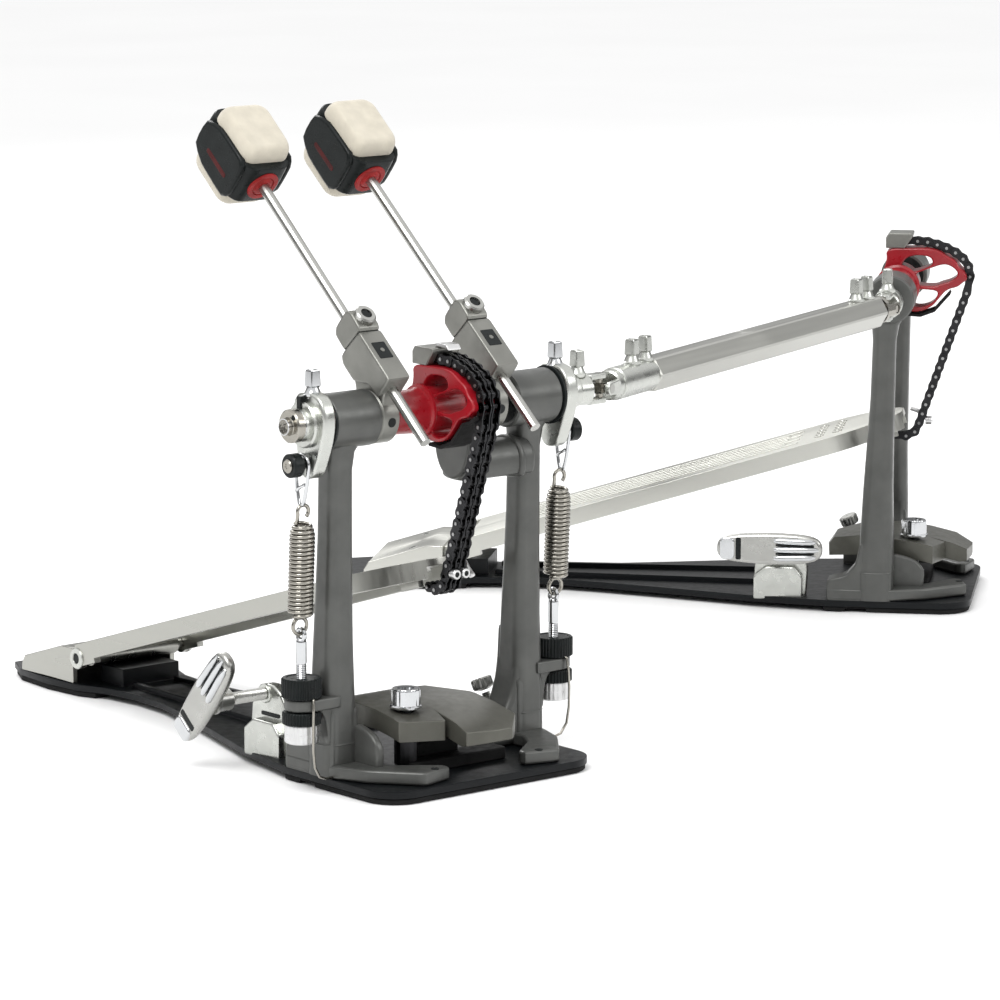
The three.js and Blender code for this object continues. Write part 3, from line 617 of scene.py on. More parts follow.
FLARE = [
    (FOOT_Z, 62), (FOOT_Z, 38), (19, 38), (22, 42.5), (27, 47.5), (34, 51.5), (43, 54.4), (54, 56),
    (72, 57), (72, 62),
]
EAR = [(68, -15), (88, -15), (95, -11), (97, -5), (95, 1), (88, 5), (68, 5)]
GUSSET = [(51, 66), (51, 86), (46, 82), (43.5, 78.5), (39, 76.2), (33, 75.2), (26, 75), (26, 66)]
ARM_WALL = [
    (-14, 199), (-11, 211), (0, 215), (11, 211), (14, 199), (14.5, 184), (12.5, 172), (7, 162), (-2, 158),
    (-11, 162), (-16, 172), (-16.5, 184),
]
ARM_MIDDLE = 168
ARM_BEAM = [(-12, 158), (9, 158), (11, 163), (10, 172), (4, 178), (-8, 178), (-13, 172), (-13, 163)]


def post(pedal, side):
    """Cast post, its foot, its barrel on the axle and, on the main pedal, the spring's ear and left arm."""
    place = PEDALS[pedal] @ Matrix.Scale(SIDES[side], 4, (1, 0, 0))
    mesh = bmesh.new()
    rings = []
    for z, wide, deep, y in POST:
        rings.append([(POST_X + a, y + b, z) for a, b in rounded(wide, deep, 0.62 * min(wide, deep), 6)])
    loft(mesh, rings, place=place)
    barrel = place @ ON_AXLE
    lathe(mesh, [(47, 12.4), (47, 14), (48, 15), (76.6, 15), (77.8, 14), (78, 12.4)], 64, place=barrel)
    lathe(mesh, [(47.4, 12.6), (46.7, 12.4), (46.7, 7)], 40, mat=1, place=barrel)
    plate(mesh, [filleted(FOOT_PLAN, 3)], FOOT_Z, FOOT_TOP, 1.6, axis=2, place=place)
    plate(mesh, [filleted(HEEL_BLOCK, 3)], 55.5, 73.6, 1.5, place=place)
    if side == "left":
        plate(mesh, [filleted(FLARE, 3)], -17.5, 2, 3.2, axis=1, place=place)
    else:
        plate(mesh, [filleted(GUIDE, 4)], 53, 58, 1.5, place=place)
    # Black disc on the foot: painted shade in a hole.
    lathe(mesh, [(13, 2.2), (14.8, 2.2)], 20, mat=1, place=place @ at(36, 43.5, 0))
    if pedal == "main":
        plate(mesh, [filleted(EAR, 3)], 45.5, 52, 1.2, axis=2, place=place)
        plate(mesh, [filleted(GUSSET, 2)], -12, 2, 1.2, axis=1, place=place)
        if side == "left":
            plate(mesh, [soft(ARM_WALL)], 12.2, 23.8, 1.6, place=place)
            plate(mesh, [soft(ARM_BEAM)], 14, 62, 2.5, place=place)
            collar = [(y * 1.12, ARM_MIDDLE + (z - ARM_MIDDLE) * 1.15) for y, z in ARM_BEAM]
            plate(mesh, [soft(collar)], 50, 54, 1.5, place=place)
    name = f"{pedal}_{side}"
    piece(f"{name}_cast_post", mesh, ["casting", "plastic_and_painted_shade"], "frame", f"{name}_post")


# ---- Beater heads ----
SHELL_HALF = 12.6
# The shell's sections: (share of its half depth, half width, half height, corner radius).
SHELL = ((1.0, 14.6, 22.8, 7.5), (0.94, 15.2, 23.4, 8), (0.5, 15.6, 23.8, 8.6), (0, 15.8, 24, 9))
PAD_STEPS = 9
# Half width, half height and corner radius at a pad's seam, and the share of each lost at its crown.
PAD_SIZE = (15.4, 18.6, 6.5)
PAD_SHRINK = (0.26, 0.27, 0.1)
CHEEK = [(-14.5, -17), (-9, -20.5), (9, -20.5), (14.5, -17), (14, 8), (9, 20), (-9, 20), (-14, 8)]


def beater_head(side):
    """A black shell with raised cheeks between two domed pads, and a red disc where the rod goes in."""
    x = HUB_X[side]
    middle = AXLE_Z + HEAD_LOW + HEAD_HEIGHT / 2
    lean = about_x(LEAN[side], 0, AXLE_Z)
    centre = lean @ at(x, ROD_OFFSET, middle)

    def ring(y, half_x, half_z, r):
        return [(a, y, b) for a, b in rounded(half_x, half_z, r)]

    mesh = bmesh.new()
    sections = [(-share, *rest) for share, *rest in SHELL] + list(SHELL[-2::-1])
    loft(mesh, [ring(share * SHELL_HALF, *rest) for share, *rest in sections], place=centre)
    height = HEAD_DEPTH / 2 - SHELL_HALF
    for way in (-1, 1):
        rings = []
        for k in range(PAD_STEPS + 1):
            turn = math.pi / 2 * k / PAD_STEPS
            fall = (1 - math.cos(turn)) ** 1.25
            y = way * (SHELL_HALF + height * math.sin(turn) ** 0.9)
            size = [full * (1 - shrink * fall) for full, shrink in zip(PAD_SIZE, PAD_SHRINK)]
            rings.append(ring(y, *size))
        loft(mesh, rings, mat=1, place=centre)
        flip = centre @ Matrix.Scale(way, 4, (1, 0, 0))
        plate(mesh, [filleted(CHEEK, 6)], 13.6, 17.6, 1.6, place=flip)
        plate(mesh, [rounded(1.5, 10.5, 1.4)], 17, 17.8, 0.25, mat=2, place=flip @ at(0, -3, -2))
    low = lean @ at(x, ROD_OFFSET, AXLE_Z + HEAD_LOW)
    lathe(mesh, [(2, 9.4), (-0.2, 9.4), (-0.5, 8.9), (-0.5, 6.6), (0.2, 6.2)], 40, mat=3, place=low)
    lathe(mesh, [(1, 6.6), (0.1, 6.4), (-1, 5), (-1.2, 3.6)], 32, mat=3, place=low)
    piece(f"{side}_beater", mesh, ["plastic_and_painted_shade", "cream", "stripe", "red_plastic"], f"{side}_head",
          f"{side}_beater_head")


# ---- Return springs ----
COIL_LOW = 97
COIL_PITCH = 2.25
COIL_TURNS = 22
COIL_R = 5.95
WIRE_R = 1.05
LOW_HOOK_R = 4.5
TOP_HOOK_R = 3.6
THREAD_R = (2.85, 2.5)


def spring_coil(side):
    """A close-wound coil whose last turns taper, with a round hook at each end."""
    steps = 16
    points = []
    for k in range(26):
        a = math.radians(80 - 330 * k / 25)
        points.append((LOW_HOOK_R * math.cos(a), 0, COIL_LOW - 6 + LOW_HOOK_R * math.sin(a)))
    points.append((4.2, 1.6, COIL_LOW - 1))
    total = COIL_TURNS * steps
    for k in range(1, total + 1):
        a = 2 * math.pi * k / steps
        left = (total - k) / steps
        r = COIL_R - 2.2 * max(0, 1 - left / 3.5) ** 2
        points.append((r * math.cos(a), r * math.sin(a), COIL_LOW + COIL_PITCH * k / steps))
    top = COIL_LOW + COIL_PITCH * COIL_TURNS
    for k in range(22):
        a = math.radians(-20 + 250 * k / 21)
        points.append((TOP_HOOK_R * math.cos(a), 0, top + 6.2 + TOP_HOOK_R * math.sin(a)))
    place = about_x(-SPRING_LEAN, SPRING_Y, EYE_Z) @ at(SIDES[side] * COIL_X, SPRING_Y, 0)
    mesh = tube(bmesh.new(), points, WIRE_R, 8, place=place)
    made = piece(f"{side}_coil", mesh, ["nickel"], None, f"{side}_spring", math.pi)
    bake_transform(made)


def spring_link(side):
    """Round wire loop that hangs on the roller's pin, wide at its top and narrow at its foot."""
    arc = [math.radians(t) for t in range(0, 181, 15)]
    path = [(5.3 * math.cos(a), HOOK_Z + 5.3 * math.sin(a)) for a in arc]
    path += [(-4.9, 171), (-3.9, 165), (-2.7, 160), (-1.6, 157), (0, 156.1)]
    path += [(1.6, 157), (2.7, 160), (3.9, 165), (4.9, 171)]
    place = about_x(-SPRING_LEAN, SPRING_Y, EYE_Z) @ at(SIDES[side] * LINK_X, SPRING_Y, 0)
    mesh = tube(bmesh.new(), [(0, y, z) for y, z in path], WIRE_R, 10, closed=True, place=place)
    tube(mesh, [(0.9, -3.2, 163.5), (1.2, 0, 166), (0.9, 3.6, 168)], 0.95, 8, place=place)
    name = f"{side}_spring"
    piece(f"{side}_wire_link", mesh, ["chrome"], f"{name}_top", f"{name}_link", math.pi)


def eyebolt(side):
    """Threaded bolt whose eye holds the foot of the spring."""
    place = at(SIDES[side] * SPRING_X, SPRING_Y, 0)
    mesh = bmesh.new()
    threads = []
    z = 27.6
    while z < 70:
        threads += [(z, THREAD_R[0]), (z + 0.5, THREAD_R[1])]
        z += 1
    lathe(mesh, [(27.5, 2.3)] + threads + [(71, 2.9), (82, 2.9), (83.6, 2.4), (84.4, 1.4)], 20, place=place)
    turns = [2 * math.pi * k / 24 for k in range(24)]
    ring = [(0, 3 * math.cos(a), EYE_Z + 3.2 * math.sin(a)) for a in turns]
    tube(mesh, ring, 1.25, 10, closed=True, place=place)
    piece(f"{side}_eye_bolt", mesh, ["chrome"], "frame", f"{side}_eyebolt")


def nuts(side):
    """Black top nut on the ear, and the lock nut below it with its bright knurled knob."""
    place = at(SIDES[side] * SPRING_X, SPRING_Y, 0)
    upper = [(52.3, 9.9), (52.9, 10.8, 1), (62.4, 10.8, 1), (63.2, 10), (63.2, 8.4), (62.8, 8), (62.8, 3)]
    mesh = lathe(bmesh.new(), upper, ridges=36, depth=0.55, place=place)
    piece(f"{side}_top_nut", mesh, ["plastic_and_painted_shade"], "frame", f"{side}_upper_nut")
    disc = [(38, 9.5), (38.5, 10.4, 1), (44.3, 10.4, 1), (44.9, 9.7)]
    mesh = lathe(bmesh.new(), disc, ridges=36, depth=0.5, place=place)
    knob = [(28, 8.3), (28.8, 9.2, 1), (37.2, 9.2, 1), (38, 8.8)]
    lathe(mesh, knob, ridges=24, depth=0.22, mat=1, place=place)
    lathe(mesh, [(32.6, 9.25), (33.2, 9.25)], 96, mat=1, place=place)
    piece(f"{side}_lock_nut", mesh, ["plastic_and_painted_shade", "bright"], f"{side}_nut", f"{side}_lower_nut")


def wire_clip(side):
    """Thin wire that holds the lock nut, from the ear down to the foot."""
    path = [(87, 4.6, 53.2), (88, 6, 52), (88.5, 6.6, 46), (89, 6.9, 36), (88.8, 6.8, 25), (87.5, 6.4, 16)]
    path += [(84, 5.6, 10.5), (79, 4.6, 8.6), (73, 3.4, 8.3)]
    mesh = tube(bmesh.new(), [(SIDES[side] * x, y, z) for x, y, z in path], 0.75, 8)
    piece(f"{side}_wire_clip", mesh, ["nickel"], "frame", smooth=math.pi)


# ---- Key bolts, spring levers and hubs ----
def key_bolt(mesh, place, mat=0):
    """Square-headed bolt, 14 high, whose flange stands on the place's floor."""
    profile = [(-1, 4.6), (0, 5.1), (0.9, 5.1), (1.5, 4.4), (4.2, 3.3), (5, 3.2)]
    lathe(mesh, profile, 28, mat=mat, place=place)
    rings = []
    for z, half in ((4.4, 2.6), (5.4, 3.3), (12.9, 3.0), (13.7, 2.6)):
        rings.append([(a, b, z) for a, b in rounded(half, half, 0.8, 3)])
    rings.append([(a, b, 13.7) for a, b in rounded(1.5, 1.5, 0.5, 3)])
    rings.append([(a, b, 12.8) for a, b in rounded(1.2, 1.2, 0.4, 3)])
    loft(mesh, rings, mat, place=place)


LEVER_OUTLINE = [
    (-9, 189), (-7.5, 177), (-6, 171.5), (0, 169.5), (6, 171.5), (9, 177), (16, 194), (16.5, 206),
    (12, 214), (4, 216.5), (-6, 216), (-12, 209),
]


def spring_lever(side):
    """Cast lever at the end of an axle: a clamp round the axle, a key bolt and a roller at the foot."""
    mirror = Matrix.Scale(SIDES[side], 4, (1, 0, 0))
    mesh = bmesh.new()
    plate(mesh, [soft(LEVER_OUTLINE)], 79.4, LEVER_OUT, 1.6, place=mirror)
    centre = mirror @ ON_AXLE
    lathe(mesh, [(86, 12.4), (89.5, 12.4), (90.5, 11.6), (90.5, 9), (93, 8.6)], 40, place=centre)
    # Black bar in the clamp round the axle: painted shade in its split.
    prism(mesh, rounded(1.6, 6, 0.5, 2), 84, 91.2, mat=2, place=mirror @ at(0, -1, AXLE_Z + 9))
    lathe(mesh, [(77.6, 15.2), (78.1, 16.1), (79.2, 16.1), (79.4, 15.2)], 48, mat=2, place=centre)
    key_bolt(mesh, mirror @ at(83.3, 1, 214), mat=1)
    roller = mirror @ at(0, 0, HOOK_Z) @ FACING_X
    lathe(mesh, [(87, 2.6), (92.2, 2.6), (92.3, 5.6), (93, 6.4), (98.3, 6.4), (98.9, 5.8), (98.9, 3.8)], 36,
          mat=2, place=roller)
    pin = [(98.2, 3.7), (99.6, 3.7), (100.2, 3.1), (100.2, 1.4), (99.8, 1.2)]
    lathe(mesh, pin, 28, mat=3, place=roller)
    piece(f"{side}_lever", mesh, ["aluminium", "chrome", "plastic_and_painted_shade", "nickel"], AXLE_BODY[side],
          f"{side}_spring_lever")


def axle_cap():
    """Turned cap on the end of the main axle, with a black disc beside its boss as painted shade in a set
    screw's hole.
    """
    profile = [(93.5, 7.6), (94, 9), (98, 9), (98.8, 8.2), (98.8, 5), (99.4, 4.6), (101.6, 4.6), (102, 4)]
    mesh = lathe(bmesh.new(), profile, 40, place=ON_AXLE)
    # Black disc: painted shade in the set screw's hole.
    lathe(mesh, [(98, 1.5), (98.95, 1.5)], 16, mat=1, place=at(0, 4.4, 5) @ ON_AXLE)
    piece("main_axle_cap", mesh, ["nickel", "plastic_and_painted_shade"], "main_axle_body")


HUB_ARM = [
    (-13, 3), (-9, 11), (6, 17), (7, 33), (31, 33), (31, 4), (24, 1), (14, -4), (6, -12), (-6, -12),
]
HUB_BLOCK = [(16.5, -1), (31, -1), (31, 33), (14, 35), (10, 35), (7.4, 31), (7.4, 19), (15.6, 9)]
HUB_SWIVEL = [(13.5, 35.2), (31, 33.2), (32.6, 35.5), (33.2, 45), (30.5, 48.6), (17.5, 48.6), (14, 46)]


def hub(side):
    """Beater hub: a ring on the axle, a long block along the rod and a swivel above its split. Black paint
    stands as painted shade in the split, a screw's socket, a recess and a hole.
    """
    x = HUB_X[side]
    lean = about_x(LEAN[side], 0, AXLE_Z) @ at(x, 0, 0)
    mesh = bmesh.new()
    ring = [(-5.8, 10), (-5.8, 13.6), (-4.8, 14.6), (4.8, 14.6), (5.8, 13.6), (5.8, 10)]
    lathe(mesh, ring, 56, place=lean @ ON_AXLE)
    plate(mesh, [soft(above_axle(HUB_ARM))], -5, 5, 1.2, place=lean)
    plate(mesh, [filleted(above_axle(HUB_BLOCK), 2.5)], -7.6, 7.6, 1.2, place=lean)
    plate(mesh, [filleted(above_axle(HUB_SWIVEL), 2.5)], -7.2, 7.2, 1.2, place=lean)
    # Black slab between the block and the swivel: painted shade in the split.
    split = above_axle([(14, 31), (30, 30), (30.2, 36), (14.5, 38)])
    prism(mesh, split, -6.6, 6.6, mat=1, place=lean)
    face = lean @ at(0, ROD_OFFSET + 12.6, AXLE_Z + 41) @ FACING_Y
    lathe(mesh, [(-2, 6), (1.4, 6), (2.2, 5.2), (2.2, 3.2), (0.6, 3)], 36, mat=2, place=face)
    # Black hexagon: painted shade in the screw's socket.
    lathe(mesh, [(-1, 3.1), (1.5, 3.1)], 6, mat=1, place=face)
    # Black pocket round a screw: painted shade in the recess.
    recess = lean @ at(0, 31, AXLE_Z + 19)
    plate(mesh, [rounded(5.6, 4.4, 0.7)], -2.5, 0.25, 0.2, axis=1, mat=1, place=recess)
    lathe(mesh, [(-1, 1.4), (0.45, 1.4)], 6, place=recess @ FACING_Y)
    # Black disc on the ring: painted shade in a hole.
    hole = at(x, 0, 0) @ about_x(math.radians(-8), 0, AXLE_Z) @ at(0, 14.1, AXLE_Z) @ FACING_Y
    lathe(mesh, [(-1, 2.6), (0.6, 2.6)], 20, mat=1, place=hole)
    piece(f"{side}_cast_hub", mesh, ["hub", "plastic_and_painted_shade", "satin"], AXLE_BODY[side], f"{side}_hub")


# ---- Cams ----
CAM_HALF = 9.5
CAM_EDGE = [
    (-8, 24.2), (-7, 16), (-11, 6), (-11, -5), (-6, -11), (5, -16), (15, -16), (22, -12.6), (26.5, -7),
    (31, -1.5), (38, 0.2), (41, 3), (44.2, 5), (42.5, 9.5), (39, 12), (36.5, 17), (31, 19.5), (26, 23),
    (19, 24.6), (8, 24.4),
]
CAM_WINDOWS = [
    [(1.5, 13.2), (6.5, 20), (20, 20), (22.6, 15), (19, 12.4), (9.5, 9), (3, 10)],
    [
        (10.8, 4.6), (12, 9.2), (20, 11.6), (28.5, 14.8), (34, 13.6), (39, 8.6), (34, 4), (27, 2),
        (23.5, 0.2), (11.4, 0.8),
    ],
    [(11.4, -1.6), (23.6, -2), (26, -4), (22.5, -10.4), (15, -13.4), (8.5, -12.4), (9.5, -5)],
]
CAM_COLLAR = [
    (-12, 12.5), (-10, 13.4), (9.4, 13.4), (10.6, 14.2), (11.8, 14), (12.6, 12.6), (15, 12), (32, 11.2),
    (33.4, 10.4),
]
CHAIN_CLIP = [(5, 33.8), (7, 36.6), (15, 36), (17, 33.2), (14, 33.9), (8, 34.4)]
CAM_STRIP = [(4, -17.2), (14, -17.8), (23, -14.4), (28.6, -8), (32.6, -3.4), (39, -1.6), (43.5, 1.4)]


def cam(pedal):
    """Red cam with three windows, a shouldered collar and a black strip under its lower rim."""
    place = PEDALS[pedal]
    mesh = bmesh.new()
    outlines = [soft(above_axle(CAM_EDGE))] + [soft(above_axle(w)) for w in CAM_WINDOWS]
    plate(mesh, outlines, -CAM_HALF, CAM_HALF, 0.9, place=place)
    lathe(mesh, CAM_COLLAR, 40, place=place @ ON_AXLE)
    rim = CAM_STRIP if pedal == "main" else CAM_STRIP[:5]
    strip = above_axle(rim + [(y + 0.6, z - 1.7) for y, z in reversed(rim)])
    prism(mesh, strip, -CAM_HALF + 1.2, CAM_HALF - 1.2, mat=1, place=place)
    if pedal == "main":
        plate(mesh, [filleted(above_axle(CHAIN_CLIP), 1)], -4.5, 4.5, 0.5, mat=2, place=place)
    paints = ["red", "rubber", "bright"]
    piece(f"{pedal}_red_cam", mesh, paints, f"{pedal}_axle_body", f"{pedal}_cam")


# ---- Wing levers, hoop clamp and base ----
def wing_lever(pedal):
    """Chromed wing with three raised ribs on its upper half, on a threaded rod. Black lines between the
    ribs and a black slot are painted shade.
    """
    half = WING_HALF
    outline = [
        (-half, -4), (-half + 5, -8), (-12, -9.6), (4, -10), (half - 8, -9), (half, -5), (half, 5),
        (half - 8, 9), (4, 10), (-12, 9.6), (-half + 5, 8), (-half, 4),
    ]
    pivot = PEDALS[pedal] @ at(0, WING_Y, WING_Z)
    turned = pivot @ Matrix.Rotation(WING_TURN[pedal], 4, "X") @ at(0, 0.5, 3.8)
    mesh = bmesh.new()
    face = WING_X + 6.2
    plate(mesh, [soft(outline)], WING_X + 0.3, face, 2.2, mat=2, place=turned)
    for across in (-5.4, 0, 5.4):
        reach = half - 2 - 0.07 * across * across
        rib = [(face + 0.4, s, across * (1.05 - 0.006 * s)) for s in (3, 6, 14, 21, reach - 3, reach)]
        tube(mesh, rib, [1.2, 2, 2, 2, 1.8, 0.9], 14, place=turned)
    # Black lines between the ribs: painted shade in the grooves.
    for across in (-2.7, 2.7):
        groove = [(face - 0.5, s, across * (1.05 - 0.006 * s)) for s in (4, half - 5)]
        tube(mesh, groove, 0.95, 8, mat=1, place=turned)
    # Black bar in the blade: painted shade in a slot.
    plate(mesh, [rounded(1.7, 7, 1)], face - 1, face + 0.2, 0.1, mat=1, place=turned @ at(0, -19.5, 0))
    plate(mesh, [rounded(4.6, 7, 3)], face - 2, face + 0.9, 0.9, place=turned @ at(0, -26.5, 0))
    rod = pivot @ FACING_X
    lathe(mesh, [(85, 5), (86, 6), (94, 6), (95, 7), (97, 7)], 32, mat=2, place=rod)
    threads = [(x + step, r) for x in range(50, 85) for step, r in ((0.1, 3.45), (0.6, 3.0))]
    lathe(mesh, threads + [(85.5, 3.2)], 20, mat=2, place=rod)
    piece(f"{pedal}_wing", mesh, ["chrome", "plastic_and_painted_shade", "satin"], f"{pedal}_lever",
          f"{pedal}_clamp_lever")


BRACKET_SIDE = [
    (-84, BURIED), (-52, BURIED), (-51, 24), (-53, 34), (-58, 41.5), (-65, 45.5), (-73, 45.5),
    (-80, 41), (-84, 33), (-85, 20),
]
BRACKET_LEDGE = [(-85, BURIED), (-54, BURIED), (-54, 20), (-59, 26), (-77, 26), (-85, 20)]


def bracket(pedal):
    """Bright cast bracket on the base plate that carries the wing lever's rod."""
    place = PEDALS[pedal]
    mesh = bmesh.new()
    plate(mesh, [filleted(BRACKET_SIDE, 3)], 54, 61, 1.2, place=place)
    plate(mesh, [filleted(BRACKET_LEDGE, 1.5)], 56, 66, 1, place=place)
    boss = place @ at(0, WING_Y, WING_Z) @ FACING_X
    lathe(mesh, [(60, 5.4), (61.6, 5.4), (62.2, 4.8), (62.2, 3.6)], 36, place=boss)
    # Black dash on the bracket: painted shade in a slot.
    plate(mesh, [rounded(8, 1.1, 0.9)], 60.6, 61.5, 0.2, mat=1, place=place @ at(0, -67, 29))
    piece(f"{pedal}_cast_bracket", mesh, ["aluminium", "plastic_and_painted_shade"], "frame", f"{pedal}_clamp_bracket")


def clamp_screw(pedal):
    """Knurled head with a flange on the hoop clamp's bolt, and the bolt down to its foot."""
    place = PEDALS[pedal] @ at(*BOLT, 0)
    mesh = bmesh.new()
    flange = [(42.5, 8.6), (43.5, 8.8), (44, 8.2)]
    head = flange + [(44.2, 8, 1), (52, 8, 1), (53, 7.2), (53, 4.6), (50.5, 4.2)]
    lathe(mesh, head, ridges=18, depth=0.3, place=place)
    lathe(mesh, [(11, 3.2), (42.6, 3.4)], 24, mat=1, place=place)
    lathe(mesh, [(10.6, 5.6), (11.4, 6.2), (12.6, 6.2), (13.2, 5.4)], 28, place=place)
    piece(f"{pedal}_clamp_screw", mesh, ["chrome", "plastic_and_painted_shade"], f"{pedal}_clamp",
          f"{pedal}_clamp_bolt")


def clamp_rubber(pedal):
    """Black block on the base plate behind the hoop, below the rocker."""
    place = PEDALS[pedal]
    mesh = bmesh.new()
    plate(mesh, [rounded(33, 8, 2.5)], 7.1, 13.5, 0.8, axis=2, place=place @ at(2, 15, 0))
    plate(mesh, [rounded(15, 6.5, 2)], 13, 21, 0.8, axis=2, place=place @ at(9, 6, 0))
    piece(f"{pedal}_clamp_rubber", mesh, ["rubber"], "frame")


SPUR_TIP = Vector((-64, -27, 16))
SPUR_TOP = Vector((-61, -36, 38))
SPUR_HEAD = [(-7, 3), (-6, 5.4), (-5, 6, 1), (-0.8, 6, 1), (0, 5), (0, 2.8)]


def spur_screw(pedal):
    """Pointed screw with a knurled round head, leaning through the left foot."""
    axis = SPUR_TOP - SPUR_TIP
    lean = axis.to_track_quat("Z", "Y").to_matrix().to_4x4()
    reach = axis.length
    head = [(reach + z, *rest) for z, *rest in SPUR_HEAD]
    mesh = bmesh.new()
    place = PEDALS[pedal] @ Matrix.Translation(SPUR_TIP) @ lean
    lathe(mesh, head, ridges=16, depth=0.5, place=place)
    threads = [(z + step, r) for z in range(1, int(reach) - 7) for step, r in ((0, 2.5), (0.5, 2.15))]
    lathe(mesh, [(0, 0.8)] + threads, 18, place=place)
    piece(f"{pedal}_spur", mesh, ["satin"], f"{pedal}_spur", f"{pedal}_spur_screw")


def toe_details(pedal):
    """Hollow rivets that hold the chain to the toe, with black discs as painted shade in their hollows, and
    a bent keeper beside them.
    """
    place = PEDALS[pedal]
    mesh = bmesh.new()
    for x in (-3.2, 3.2) if pedal == "main" else (0,):
        rivet = place @ at(x, 21.4, 112) @ FACING_Y
        lathe(mesh, [(-3, 2.7), (0.6, 2.7), (1, 2.4), (1, 1.5), (0.5, 1.4)], 28, place=rivet)
        # Black disc: painted shade in the rivet's hollow.
        lathe(mesh, [(-1, 1.5), (0.7, 1.5)], 16, mat=1, place=rivet)
    keeper = [(-9.3, 8, 118), (-9.4, 13, 116.5), (-9.2, 17, 112.5), (-8.4, 21, 110.4), (-6, 22, 110.2)]
    tube(mesh, keeper, [1.3, 1.5, 1.5, 1.4, 1], 8, place=place)
    piece(f"{pedal}_toe_rivets", mesh, ["bright", "plastic_and_painted_shade"], f"{pedal}_board")


def hinge_ends(pedal):
    """Round ends of the footboard's ears, with a black disc as painted shade in the hinge pin's socket."""
    mesh = bmesh.new()
    for way in (-1, 1):
        place = PEDALS[pedal] @ Matrix.Scale(way, 4, (1, 0, 0)) @ at(0, *HINGE) @ FACING_X
        lathe(mesh, [(38, 6.2), (39.4, 6.2), (39.9, 5.7), (39.9, 3.2), (39.2, 2.9)], 36, place=place)
        # Black disc: painted shade in the hinge pin's socket.
        lathe(mesh, [(38, 3), (39.4, 3)], 24, mat=1, place=place)
    piece(f"{pedal}_hinge_ends", mesh, ["aluminium", "plastic_and_painted_shade"], f"{pedal}_board")


def board_grip(pedal):
    """Low ribs along the footboard, with two rows of round studs across its toe whose black middles are
    painted shade in their holes.
    """
    board = PEDALS[pedal] @ at(0, *HINGE) @ Matrix.Rotation(BOARD_TILT, 4, "X")
    mesh = bmesh.new()
    for across in range(-24, 25, 8):
        low, high = (48, 232) if across % 16 else (40, 224)
        rib = board @ at(across, (low + high) / 2, 0)
        outline = rounded(1.5, (high - low) / 2, 1.4)
        plate(mesh, [outline], BOARD_TOP - 0.4, BOARD_TOP + 0.7, 0.35, axis=2, place=rib)
    for along in (246, 258):
        for across in range(-20, 21, 10):
            stud = board @ at(across, along, BOARD_TOP)
            lathe(mesh, [(-0.4, 3.2), (0.4, 3.2), (0.7, 2.9), (0.7, 2), (0.3, 1.8)], 28, place=stud)
            # Black disc in each stud: painted shade in its hole.
            lathe(mesh, [(-0.4, 1.9), (0.4, 1.9)], 20, mat=1, place=stud)
    paints = [finish(pedal, "footboard"), "plastic_and_painted_shade"]
    piece(f"{pedal}_board_grip", mesh, paints, f"{pedal}_board")


def heel_screws(pedal):
    """Countersunk screws that hold the heel plate down, with black hexagons as painted shade in their
    sockets.
    """
    mesh = bmesh.new()
    slope = Matrix.Rotation(HEEL_SLOPE, 4, "X")
    for across in (-25, 25):
        for back in (10, 30):
            z = HEEL_EDGE[1] - back * math.tan(HEEL_SLOPE)
            place = PEDALS[pedal] @ at(across, HEEL_EDGE[0] - back, z) @ slope
            lathe(mesh, [(-0.6, 3.4), (0.15, 3.4), (0.25, 3.1), (0.1, 1.8)], 28, place=place)
            # Black hexagon: painted shade in the screw's socket.
            lathe(mesh, [(-0.6, 1.9), (0.2, 1.9)], 6, mat=1, place=place)
    piece(f"{pedal}_heel_screws", mesh, ["satin", "plastic_and_painted_shade"], "frame")


# ---- Drive shaft ----
FORK_R = 8.6
HEX_SMOOTH = math.radians(25)

# One ear of a fork as (z, x), from its root to its round end.
FORK_EAR = [
    (-4.4, 11), (4.4, 11), (3.7, 3), (3.4, -2.2), (1.4, -3.9), (-1.4, -3.9), (-3.4, -2.2), (-3.7, 3),
]


def fork(mesh, place, length, level, mat=0):
    """Half of a universal joint, along +X from its centre. Where it is level, its ears are side by side."""
    centre = place @ at(0, 0, AXLE_Z)
    neck = [(9.9, 7.4), (10.6, 8.4), (length - 0.8, 8.4), (length, 7.8)]
    lathe(mesh, neck, 40, mat=mat, place=centre @ FACING_X)
    turn = NOWHERE if level else Matrix.Rotation(math.pi / 2, 4, "X")
    for way in (-1, 1):
        side = centre @ turn @ Matrix.Scale(way, 4, (0, 1, 0))
        plate(mesh, [soft(FORK_EAR, 1)], 5.1, 8.3, 0.7, axis=1, mat=mat, place=side)
        lathe(mesh, [(7.4, 2.6), (8.45, 2.6)], 20, mat=mat + 1, place=side @ FACING_Y)


